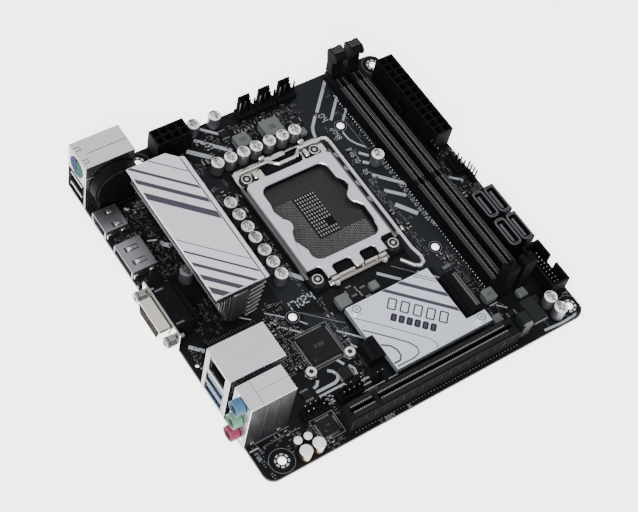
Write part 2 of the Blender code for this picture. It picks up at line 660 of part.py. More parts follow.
def sata_ports():
    wide, long, tall = SATA_SIZE
    for i, (x, y) in enumerate(SATA_CENTRES):
        outline = [(x - wide / 2, y - long / 2 + 1.6), (x - wide / 2 + 1.6, y - long / 2),
                   (x + wide / 2, y - long / 2), (x + wide / 2, y + long / 2), (x - wide / 2, y + long / 2)]
        pocket = box(x - 2.2, x + 2.2, y - 6.6, y + 6.6, 2.2, tall + 1)
        tongue = box(x - 0.6, x + 0.6, y - 5.2, y + 5.2, 2.0, tall - 1.2)
        foot = box(x - 0.6, x + 1.9, y + 3.9, y + 5.2, 2.0, tall - 1.2)
        piece = part(f"sata_port_{i + 1}", [prism(outline, GAP, tall)], BLACK_PLASTIC, cut=[pocket])
        for extra in (tongue, foot):
            piece.data = combine(piece.data, make_mesh("join", [extra]), "UNION")


def usb3_header():
    x0, x1 = USB3_X
    y0, y1 = USB3_Y
    wall = USB3_WALL
    pocket = box(x0 + wall, x1 - wall, y0 + wall, y1 - wall, 1.6, 12)
    key = box(x1 - 2 * wall, x1 + wall, *USB3_KEY_Y, 3.0, 12)
    piece = part("usb3_header", [box(x0, x1, y0, y1, GAP, USB3_TOP)], BLACK_PLASTIC, cut=[pocket])
    piece.data = combine(piece.data, make_mesh("cut", [key]), "DIFFERENCE")


def pin_header(name, centre, columns, rows, along="x"):
    """Open double-row header: a low plastic bar with square pins standing out of it."""
    x, y = centre
    long = columns * PIN_PITCH / 2
    deep = rows * PIN_PITCH / 2
    half_x, half_y = (long, deep) if along == "x" else (deep, long)
    pins = []
    for j in range(rows):
        shift = (j - (rows - 1) / 2) * PIN_PITCH
        px = x if along == "x" else x + shift
        py = y + shift if along == "x" else y
        pins += pin_row(px, py, columns, PIN_PITCH, 2.0, HEADER_PIN_TOP, along)
    part(name, [box(x - half_x, x + half_x, y - half_y, y + half_y, GAP, 2.6)], BLACK_PLASTIC, join=pins)


# ---------------------------------------------------------------- rear connectors

def ps2_usb_stack():
    """Round keyboard socket above two USB sockets, in one plated housing."""
    back, y0, y1 = PS2_STACK
    shell = box(IO_FRONT, back, y0, y1, GAP, STACK_TOP)
    round_socket = prism(circle(*PS2_CENTRE, PS2_SOCKET_R, 20), IO_FRONT - 1, IO_FRONT + 6.0, axis="X")
    ports = [box(IO_FRONT - 1, IO_FRONT + USB_MOUTH_DEEP, y0 + 1.3, y1 - 1.3, z, z + USB_MOUTH_TALL)
             for z in (2.4, 9.6)]
    part("ps2_usb_stack", [shell], STEEL, cut=[round_socket] + ports)


def lan_usb_stack():
    """Network socket above two USB sockets."""
    back, y0, y1 = LAN_STACK
    shell = box(IO_FRONT, back, y0, y1, GAP, STACK_TOP)
    network = box(IO_FRONT - 1, IO_FRONT + 13, *LAN_MOUTH)
    ports = [box(IO_FRONT - 1, IO_FRONT + USB_MOUTH_DEEP, y0 + 2.7, y1 - 2.7, z, z + USB_MOUTH_TALL)
             for z in (2.4, 9.8)]
    part("lan_usb_stack", [shell], STEEL, cut=[network] + ports)


def flat_video_port(name, y0, y1, depth, height, chamfer_side):
    """Thin metal shell, open towards the rear."""
    shell = box(IO_FRONT, IO_FRONT + depth, y0, y1, GAP, height)
    c = 1.6
    inner = [(y0 + 0.8, 0.9), (y1 - 0.8, 0.9), (y1 - 0.8, height - 0.6), (y0 + 0.8, height - 0.6)]
    if chamfer_side == "both":
        inner = [(y0 + 0.8 + c, 0.9), (y1 - 0.8 - c, 0.9), (y1 - 0.8, 0.9 + c), (y1 - 0.8, height - 0.6),
                 (y0 + 0.8, height - 0.6), (y0 + 0.8, 0.9 + c)]
    mouth = prism(inner, IO_FRONT - 1, IO_FRONT + VIDEO_MOUTH_DEEP, axis="X")
    part(name, [shell], STEEL, cut=[mouth])


def vga_port():
    """Fifteen-hole D connector: plastic body, metal flange and protruding mouth."""
    flange = box(*VGA_FLANGE_X, *VGA_FLANGE[:2], GAP, VGA_FLANGE[2])
    body = box(*VGA_BODY[:4], GAP, VGA_BODY[4])
    mouth_outline = [(-6.4, 2.6), (8.4, 2.6), (9.4, 3.6), (10.2, 9.4), (9.4, 10.6), (-7.4, 10.6),
                     (-8.2, 9.4), (-7.4, 3.6)]
    inner_outline = [(-5.8, 3.2), (7.8, 3.2), (8.7, 4.0), (9.4, 9.2), (8.8, 10.0), (-6.8, 10.0),
                     (-7.4, 9.2), (-6.7, 4.0)]
    mouth = prism(mouth_outline, REAR_X, -85.8, axis="X")
    inner = prism(inner_outline, REAR_X - 1, -87.0, axis="X")
    piece = part("vga_port", [flange], STEEL, join=[body, mouth], cut=[inner])
    nut_holes = [prism(circle(y, JACKSCREW_Z, 1.7, 10), -87.0, -80.0, axis="X") for y in JACKSCREW_Y]
    piece.data = combine(piece.data, make_mesh("cut", nut_holes), "DIFFERENCE")


def jackscrews():
    """Hexagonal standoffs that hold a video cable's screws."""
    z = JACKSCREW_Z
    for i, y in enumerate(JACKSCREW_Y):
        hexagon = prism(circle(y, z, JACKSCREW_R, 6), -91.2, -86.3, axis="X")
        thread = prism(circle(y, z, 1.3, 10), -86.8, -82.0, axis="X")
        bore = prism(circle(y, z, 1.2, 10), -93.0, -87.5, axis="X")
        part(f"jackscrew_{i + 1}", [hexagon], NICKEL, join=[thread], cut=[bore])


def audio_stack():
    body = box(*AUDIO_BLOCK, GAP, AUDIO_TOP)
    bores = [prism(circle(JACK_Y, z, 3.0, 14), -87.0, -74.0, axis="X") for z in JACK_HEIGHTS]
    part("audio_stack", [body], STEEL, cut=bores)


def audio_jacks():
    colours = {"pink": (0.62, 0.18, 0.30), "green": (0.36, 0.62, 0.47), "blue": (0.20, 0.46, 0.66)}
    for (name, colour), z in zip(colours.items(), JACK_HEIGHTS):
        collar = prism(circle(JACK_Y, z, JACK_R, 20), *JACK_COLLAR_X, axis="X")
        neck = prism(circle(JACK_Y, z, JACK_NECK_R, 14), -86.9, -75.0, axis="X")
        bore = prism(circle(JACK_Y, z, JACK_BORE_R, 12), -91.0, -76.5, axis="X")
        part(f"audio_jack_{name}", [collar], (colour, 0.4, 0.0), join=[neck], cut=[bore], smooth=True)


# ---------------------------------------------------------------- battery

def battery_holder():
    x, z = CELL_CENTRE
    rim = [(zz, xx) for xx, zz in circle(x, z, HOLDER_R, 28)]
    hollow = [(zz, xx) for xx, zz in circle(x, z, CELL_R + GAP, 28)]
    foot = box(x - 9.0, x + 9.0, HOLDER_Y[0] + 0.1, HOLDER_Y[1] - 0.2, GAP, z - 8)
    well = prism(list(reversed(hollow)), HOLDER_Y[0] - 1.2, HOLDER_BACK_Y, axis="Y")
    part("battery_holder", [prism(list(reversed(rim)), *HOLDER_Y, axis="Y")], BLACK_PLASTIC,
         join=[foot], cut=[well], smooth=True)


def coin_cell():
    x, z = CELL_CENTRE
    disc = [(zz, xx) for xx, zz in circle(x, z, CELL_R, 28)]
    part("coin_cell", [prism(list(reversed(disc)), *CELL_Y, axis="Y")], ((0.03, 0.03, 0.032), 0.35, 0.0),
         smooth=True)


# ---------------------------------------------------------------- chips, coils and capacitors

def chips():
    part("io_controller", [box(*IO_CHIP, GAP, 1.7)], CHIP)
    part("audio_chip", [box(*AUDIO_CHIP, GAP, 1.5)], CHIP)


def chokes():
    for i, (x, y, half, tall) in enumerate(CHOKES):
        part(f"choke_{i + 1}", [prism(rounded(x - half, x + half, y - half, y + half, 0.6, 2), GAP, tall)],
             ((0.24, 0.25, 0.25), 0.6, 0.2))


def capacitors():
    for i, (x, y) in enumerate(CAPACITORS):
        part(f"capacitor_{i + 1}", [prism(circle(x, y, CAPACITOR_R, 16), GAP, CAPACITOR_TOP)],
             ((0.62, 0.63, 0.64), 0.3, 1.0), smooth=True)


# ---------------------------------------------------------------- the whole board

clear_scene()
BOARD_FRAME = make_frame()
circuit_board()
socket_backplate()
cpu_socket()
ilm_frame()
load_plate()
load_lever()
ilm_screws()
vrm_heatsink()
vrm_screws()
chipset_heatsink()
chipset_pins()
dimm_slots()
dimm_latches()
pcie_slot()
pcie_latch()
m2_slot()
m2_standoffs()
wifi_slot()
power_connector("atx_power", ATX_CENTRE, 2, 12, (-1, 0))
power_connector("eps_power", EPS_CENTRE, 4, 2, (0, -1))
fan_headers()
sata_ports()
usb3_header()
pin_header("panel_header", PANEL_HEADER, 4, 2, "y")
pin_header("usb2_header", USB2_HEADER, 5, 2)
pin_header("audio_header", AUDIO_HEADER, 5, 2)
ps2_usb_stack()
lan_usb_stack()
flat_video_port("hdmi_port", *HDMI_PORT, "both")
flat_video_port("displayport", *DISPLAY_PORT, "none")
vga_port()
jackscrews()
audio_stack()
audio_jacks()
battery_holder()
coin_cell()
chips()
chokes()
capacitors()
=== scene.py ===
import math
import random

import bmesh
import bpy
from mathutils import Matrix, Vector
from mathutils.geometry import tessellate_polygon


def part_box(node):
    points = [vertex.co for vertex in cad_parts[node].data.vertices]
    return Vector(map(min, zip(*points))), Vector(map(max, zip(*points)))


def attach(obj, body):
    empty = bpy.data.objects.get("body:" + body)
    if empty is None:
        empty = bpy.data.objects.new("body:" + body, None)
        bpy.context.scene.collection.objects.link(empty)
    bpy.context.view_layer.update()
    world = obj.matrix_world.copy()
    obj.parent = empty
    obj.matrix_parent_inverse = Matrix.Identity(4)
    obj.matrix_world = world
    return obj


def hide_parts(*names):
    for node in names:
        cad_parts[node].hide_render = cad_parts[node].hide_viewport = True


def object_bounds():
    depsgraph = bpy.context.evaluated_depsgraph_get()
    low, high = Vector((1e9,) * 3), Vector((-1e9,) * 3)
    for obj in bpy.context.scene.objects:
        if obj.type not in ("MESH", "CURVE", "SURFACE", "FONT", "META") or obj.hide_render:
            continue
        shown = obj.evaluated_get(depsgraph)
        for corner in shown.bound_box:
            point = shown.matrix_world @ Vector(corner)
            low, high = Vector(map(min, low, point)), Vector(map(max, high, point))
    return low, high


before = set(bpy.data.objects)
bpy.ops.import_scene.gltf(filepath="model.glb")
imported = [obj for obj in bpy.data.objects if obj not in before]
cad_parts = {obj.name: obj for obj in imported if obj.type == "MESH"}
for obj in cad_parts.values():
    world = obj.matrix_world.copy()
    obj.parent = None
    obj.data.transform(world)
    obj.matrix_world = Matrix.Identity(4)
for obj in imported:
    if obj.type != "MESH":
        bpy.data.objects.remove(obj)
CAD_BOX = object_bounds()

# Looks of the mini-ITX motherboard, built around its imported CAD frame. Lengths are millimetres in the
# board's own frame: x towards the front edge, y towards the processor power connector, z = 0 on the
# board's top face. MM and BOARD turn them into the frame's metres.
MM = 0.001
PAD_RAISE = 0.1
PAD_LOW = 0.03
LOW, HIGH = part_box("pcb")
BOARD = Vector(((LOW.x + HIGH.x) / 2, (LOW.y + HIGH.y) / 2, HIGH.z - PAD_RAISE * MM))
BOARD_THICK = (HIGH.z - LOW.z) / MM - 2 * PAD_RAISE
# The four holes for the enclosure's screws, and the four for a cooler round the socket
MOUNT_HOLES = ((-74.84, -78.65), (80.1, -78.65), (80.1, 78.83), (-51.98, 78.83))
COOLER_MIDDLE = (5.2, 15.5)
COOLER_REACH = 39.0
COOLER_HOLES = tuple((COOLER_MIDDLE[0] + sx * COOLER_REACH, COOLER_MIDDLE[1] + sy * COOLER_REACH)
                     for sx in (-1, 1) for sy in (-1, 1))
HOLE_LINING_R = 1.94


def span(node):
    """A CAD node's box as (x0, x1, y0, y1, z0, z1) in board millimetres."""
    low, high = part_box(node)
    a, b = (low - BOARD) / MM, (high - BOARD) / MM
    return a.x, b.x, a.y, b.y, a.z, b.z


def crown(node):
    """The middle of a CAD node's top, as (x, y, z) in board millimetres."""
    x0, x1, y0, y1, _, z1 = span(node)
    return (x0 + x1) / 2, (y0 + y1) / 2, z1


def grid(x, y, columns, rows, step_x, step_y, centred=True):
    """A grid's points, column by column, with its middle or else its first point at x, y."""
    if centred:
        x, y = x - (columns - 1) / 2 * step_x, y - (rows - 1) / 2 * step_y
    return [(x + i * step_x, y + j * step_y) for i in range(columns) for j in range(rows)]


# ---------------------------------------------------------------- camera, light and floor

CAMERA_AT = (-275.84, -261.12, 544.83)
CAMERA_AIM = (-5.97, -2.45, 0.0)
CAMERA_ROLL = 15.2
CAMERA_LENS = 83.5
# The floor is a light table, which glows a little from within
LIGHT_TABLE = 3.0
ROOM_LIGHT = 1.3


def world_point(x, y, z=0.0):
    return BOARD + Vector((x, y, z)) * MM


def make_camera():
    camera = bpy.data.objects.new("camera", bpy.data.cameras.new("camera"))
    camera.data.lens = CAMERA_LENS
    camera.data.sensor_width = 36.0
    camera.data.clip_start = 0.01
    camera.location = world_point(*CAMERA_AT)
    aim = world_point(*CAMERA_AIM) - camera.location
    turn = aim.to_track_quat("-Z", "Y").to_matrix().to_4x4()
    roll = Matrix.Rotation(math.radians(CAMERA_ROLL), 4, "Z")
    camera.matrix_world = Matrix.Translation(camera.location) @ turn @ roll
    bpy.context.scene.collection.objects.link(camera)
    bpy.context.scene.camera = camera


def area_light(name, place, aim, size, power, colour=(1, 1, 1)):
    light = bpy.data.lights.new(name, "AREA")
    light.shape = "RECTANGLE"
    light.size, light.size_y = size
    light.energy = power
    light.color = colour
    lamp = bpy.data.objects.new(name, light)
    lamp.location = place
    lamp.rotation_mode = "QUATERNION"
    lamp.rotation_quaternion = (Vector(aim) - Vector(place)).to_track_quat("-Z", "Y")
    bpy.context.scene.collection.objects.link(lamp)


def add_node(tree, kind, **values):
    """A shader node, with the values of its own sockets."""
    made = tree.nodes.new("ShaderNode" + kind)
    for socket, value in values.items():
        made.inputs[socket.replace("_", " ")].default_value = value
    return made


def tone_ramp(tree, low, high, start=0.0, end=1.0):
    """A colour ramp from one colour to another."""
    ramp = add_node(tree, "ValToRGB")
    for element, colour, position in zip(ramp.color_ramp.elements, (low, high), (start, end)):
        element.color = (*colour, 1)
        element.position = position
    return ramp


def make_lights():
    """A grey room that is darker towards the horizon, with one broad panel on the camera's side."""
    world = bpy.data.worlds.new("studio")
    world.use_nodes = True
    tree = world.node_tree
    background = tree.nodes["Background"]
    place = add_node(tree, "TexCoord")
    parts = add_node(tree, "SeparateXYZ")
    ramp = tone_ramp(tree, (0.16, 0.16, 0.165), (0.80, 0.80, 0.83), 0.0, 0.85)
    tree.links.new(place.outputs["Generated"], parts.inputs["Vector"])
    tree.links.new(parts.outputs["Z"], ramp.inputs["Fac"])
    tree.links.new(ramp.outputs["Color"], background.inputs["Color"])
    background.inputs["Strength"].default_value = ROOM_LIGHT
    bpy.context.scene.world = world
    area_light("near_panel", (-0.8, -0.7, 1.2), (0, 0, 0), (0.9, 0.9), 30.0)


def make_floor():
    bm = bmesh.new()
    bmesh.ops.create_grid(bm, x_segments=1, y_segments=1, size=6.0)
    mesh = bpy.data.meshes.new("floor")
    bm.to_mesh(mesh)
    bm.free()
    floor = bpy.data.objects.new("floor", mesh)
    floor.location = (0, 0, CAD_BOX[0].z - 0.0002)
    bpy.context.scene.collection.objects.link(floor)
    paint = bpy.data.materials.new("floor")
    paint.use_nodes = True
    shader = paint.node_tree.nodes["Principled BSDF"]
    shader.inputs["Base Color"].default_value = (0.93, 0.93, 0.93, 1)
    shader.inputs["Roughness"].default_value = 0.9
    shader.inputs["Specular IOR Level"].default_value = 0.1
    shader.inputs["Emission Color"].default_value = (1, 1, 1, 1)
    shader.inputs["Emission Strength"].default_value = LIGHT_TABLE
    mesh.materials.append(paint)


# ---------------------------------------------------------------- materials

# The part of the noise's range that carries the change of tone, and the depth of the relief in metres
GRAIN_RANGE = (0.3, 0.7)
RELIEF = 0.00005


def surface(name, colour, rough, metal=0.0, vary=0.12, grain=900.0, bump=0.15, stretch=(1, 1, 1),
            gloss=0.5, rough_vary=0.12):
    """A finish whose tone, roughness and relief all vary with a fine grain of its own scale."""
    made = bpy.data.materials.new(name)
    made.use_nodes = True
    tree = made.node_tree
    link = tree.links.new
    shader = tree.nodes["Principled BSDF"]
    place = add_node(tree, "TexCoord")
    mapping = add_node(tree, "Mapping", Scale=stretch)
    link(place.outputs["Object"], mapping.inputs["Vector"])
    fine = add_node(tree, "TexNoise", Scale=grain, Detail=4.0)
    broad = add_node(tree, "TexNoise", Scale=grain / 12, Detail=2.0)
    for noise in (fine, broad):
        link(mapping.outputs["Vector"], noise.inputs["Vector"])
    blend, half = add_node(tree, "Math"), add_node(tree, "Math")
    blend.operation, half.operation = "MULTIPLY_ADD", "MULTIPLY"
    for sum_node, noise in ((blend, fine), (half, broad)):
        sum_node.inputs[1].default_value = 0.5
        link(noise.outputs["Fac"], sum_node.inputs[0])
    link(half.outputs[0], blend.inputs[2])
    ramp = tone_ramp(tree, [c * (1 - vary) for c in colour], [min(1.0, c * (1 + vary)) for c in colour],
                     *GRAIN_RANGE)
    link(blend.outputs[0], ramp.inputs["Fac"])
    link(ramp.outputs["Color"], shader.inputs["Base Color"])
    spread = add_node(tree, "MapRange", From_Min=GRAIN_RANGE[0], From_Max=GRAIN_RANGE[1],
                      To_Min=max(0.02, rough * (1 - rough_vary)), To_Max=min(1.0, rough * (1 + rough_vary)))
    link(broad.outputs["Fac"], spread.inputs["Value"])
    link(spread.outputs["Result"], shader.inputs["Roughness"])
    if bump:
        relief = add_node(tree, "Bump", Strength=bump, Distance=RELIEF)
        link(fine.outputs["Fac"], relief.inputs["Height"])
        link(relief.outputs["Normal"], shader.inputs["Normal"])
    shader.inputs["Metallic"].default_value = metal
    shader.inputs["Specular IOR Level"].default_value = gloss
    return made


# Finishes: colour, roughness, and what differs from a plain surface
FINISH_ROWS = {
    "mask": ((0.0050, 0.0056, 0.0064), 0.42, dict(vary=0.25, grain=700, bump=0.12, gloss=0.10)),
    "slate": ((0.0125, 0.0140, 0.0168), 0.45, dict(vary=0.10, grain=900, bump=0.08, gloss=0.10)),
    "ink": ((0.30, 0.32, 0.34), 0.6, dict(vary=0.10, grain=2500, bump=0.2, gloss=0.3)),
    "dim_ink": ((0.14, 0.15, 0.16), 0.6, dict(vary=0.2, grain=2500, bump=0.2, gloss=0.3)),
    "tin": ((0.72, 0.72, 0.72), 0.28, dict(metal=1.0, vary=0.12, grain=1800, bump=0.35)),
    "gold": ((0.80, 0.62, 0.30), 0.25, dict(metal=1.0, vary=0.08, grain=2500, bump=0.1)),
    "copper": ((0.42, 0.25, 0.13), 0.35, dict(metal=1.0, vary=0.15, grain=2000)),
    "nickel": ((0.78, 0.75, 0.68), 0.17, dict(metal=1.0, vary=0.06, grain=900, bump=0.12)),
    "steel": ((0.885, 0.855, 0.925), 0.34, dict(metal=1.0, vary=0.035, grain=4200, bump=0.18)),
    "wire": ((0.93, 0.93, 0.93), 0.27, dict(metal=1.0, vary=0.05, grain=1500, bump=0.05)),
    "plate": ((0.94, 0.925, 1.0), 0.40, dict(metal=0.85, vary=0.03, grain=5200, bump=0.22)),
    "cool_plate": ((0.81, 0.85, 0.95), 0.40, dict(metal=0.85, vary=0.03, grain=5200, bump=0.22)),
    "fin": ((0.40, 0.405, 0.39), 0.30, dict(metal=1.0, vary=0.12, grain=500, bump=0.2, stretch=(1, 1, 8))),
    "stripe": ((0.045, 0.043, 0.060), 0.5, dict(vary=0.10, grain=3000, bump=0.2, gloss=0.3)),
    "can": ((0.17, 0.175, 0.185), 0.34, dict(metal=0.75, vary=0.07, grain=900, bump=0.08, stretch=(1, 1,
                                             0.2))),
    "can_top": ((0.80, 0.81, 0.82), 0.45, dict(vary=0.05, grain=2400, bump=0.2, gloss=0.3)),
    # Black print, also painted shade inside the jackscrews' holes
    "print": ((0.012, 0.012, 0.014), 0.55, dict(vary=0.2, grain=3000, gloss=0.3)),
    # Black plastic, also painted shade in the socket frame's notches and inside the USB mouths
    "black": ((0.0042, 0.0044, 0.0050), 0.66, dict(vary=0.22, grain=1500, bump=0.25, gloss=0.07)),
    # Black moulded bases, also the painted shade block under the heatsink's cap
    "base": ((0.006, 0.0063, 0.007), 0.35, dict(vary=0.15, grain=1500)),
    # Dark grey marks, also the painted highlight arc on the battery's rim
    "grey": ((0.022, 0.024, 0.026), 0.38, dict(vary=0.12, grain=1500, bump=0.2)),
    "slot": ((0.0070, 0.0080, 0.0086), 0.65, dict(vary=0.15, grain=1400, bump=0.2, gloss=0.06)),
    # Painted shade: a darker copy of the slot's nylon for the graphics slot's ribs and side faces
    "slot_side_shade": ((0.0026, 0.0030, 0.0033), 0.80, dict(vary=0.2, grain=1400, gloss=0.03)),
    "smoke": ((0.010, 0.012, 0.012), 0.48, dict(vary=0.12, grain=700, bump=0.05, gloss=0.15)),
    "resin": ((0.0046, 0.0049, 0.0056), 0.45, dict(vary=0.15, grain=3500, bump=0.25, gloss=0.2)),
    "ferrite": ((0.092, 0.098, 0.098), 0.55, dict(vary=0.10, grain=3000, bump=0.35)),
    "shell": ((0.85, 0.85, 0.88), 0.19, dict(metal=1.0, vary=0.04, grain=240, bump=0.05, rough_vary=0.25)),
    "dull_shell": ((0.34, 0.345, 0.355), 0.33, dict(metal=1.0, vary=0.10, grain=500, bump=0.1)),
    "ceramic": ((0.050, 0.045, 0.040), 0.45, dict(vary=0.25, grain=2500, bump=0.2)),
    "usb_blue": ((0.050, 0.105, 0.23), 0.45, dict(vary=0.1, grain=1200, bump=0.1, gloss=0.2)),
    "violet": ((0.022, 0.024, 0.10), 0.65, dict(vary=0.1, grain=1200, bump=0.1, gloss=0.06)),
    "teal": ((0.010, 0.085, 0.062), 0.65, dict(vary=0.1, grain=1200, bump=0.1, gloss=0.06)),
    "contact": ((0.62, 0.61, 0.58), 0.30, dict(metal=1.0, vary=0.1, grain=3000)),
    "field": ((0.010, 0.0098, 0.0096), 0.5, dict(vary=0.15, grain=3000, bump=0.3)),
    "bronze": ((0.40, 0.31, 0.22), 0.28, dict(metal=1.0, vary=0.1, grain=900, bump=0.1)),
    # Dark metal for contacts and pins, also painted shade on the socket field's far half and the jackscrews'
    # necks
    "dark_contact_and_shade": ((0.075, 0.074, 0.073), 0.38, dict(metal=1.0, vary=0.15, grain=3000)),
    # Grey for marks on black parts, also painted edge highlights on the drive ports
    "edge": ((0.080, 0.083, 0.088), 0.5, dict(vary=0.15, grain=1500, bump=0.2, gloss=0.2)),
    "tick": ((0.20, 0.203, 0.207), 0.5, dict(vary=0.12, grain=2500, bump=0.2, gloss=0.3)),
    # Painted shade: a darker, less metallic copy of the steel for the load plate's folded sides
    "painted_fold_shade": ((0.27, 0.265, 0.275), 0.40, dict(metal=0.3, vary=0.06, grain=900, bump=0.1)),
    # Darker copy of the plated shell: painted shade on the stacks' rear faces, also used for the network
    # mouths' rims and the heatsink's end plates
    "front": ((0.32, 0.32, 0.335), 0.38, dict(metal=1.0, vary=0.06, grain=400, bump=0.08)),
    "end": ((0.37, 0.37, 0.36), 0.36, dict(metal=1.0, vary=0.15, grain=2000, bump=0.2)),
    # Painted shade: a dark copy of the plated shell for the sound stack's side face towards -y
    "side": ((0.045, 0.047, 0.050), 0.30, dict(metal=0.6, vary=0.06, grain=500, bump=0.06)),
    # Dark metal: the backplate's and the standoffs' own colour, and painted shade on the socket frame's side
    # rails and the heatsink's core
    "dark_fin": ((0.13, 0.135, 0.135), 0.38, dict(metal=0.9, vary=0.15, grain=700, bump=0.2)),
    "dark_top": ((0.11, 0.115, 0.12), 0.45, dict(vary=0.1, grain=1800, bump=0.15)),
    # Black of the coin cell and its holder, also painted shade lining the jack bores
    "cell": ((0.0024, 0.0024, 0.0028), 0.60, dict(vary=0.15, grain=700, bump=0.08, gloss=0.06)),
    "white_top": ((0.80, 0.79, 0.80), 0.5, dict(vary=0.03, grain=1500, bump=0.1)),
}
FINISHES = {name: surface(name, colour, rough, **more)
            for name, (colour, rough, more) in FINISH_ROWS.items()}
JACK_COLOURS = {"pink": (0.22, 0.030, 0.062), "green": (0.12, 0.24, 0.155), "blue": (0.045, 0.125, 0.21)}
# Each jack colour also gets a darker copy: painted shade for the ring round its bore
JACK_FACE_SHADE = 0.4
for hue, tone in JACK_COLOURS.items():
    shade = [c * JACK_FACE_SHADE for c in tone]
    FINISHES[hue] = surface(hue + "_nylon", tone, 0.42, vary=0.07, grain=1200, bump=0.1, gloss=0.3)
    FINISHES[hue + "_face"] = surface(hue + "_face", shade, 0.6, vary=0.07, grain=1200, bump=0.1, gloss=0.1)


# ---------------------------------------------------------------- shapes

def inset(points, reach):
    """A closed outline moved by reach to the left of its own direction, with mitred corners."""
    made = []
    for i, here in enumerate(points):
        before, after = points[i - 1], points[(i + 1) % len(points)]
        u = Vector((here[0] - before[0], here[1] - before[1])).normalized()
        v = Vector((after[0] - here[0], after[1] - here[1])).normalized()
        normal = Vector((-u.y - v.y, u.x + v.x)).normalized()
        made.append(tuple(Vector(here) + normal * reach / max(0.4, normal.dot(Vector((-u.y, u.x))))))
    return made


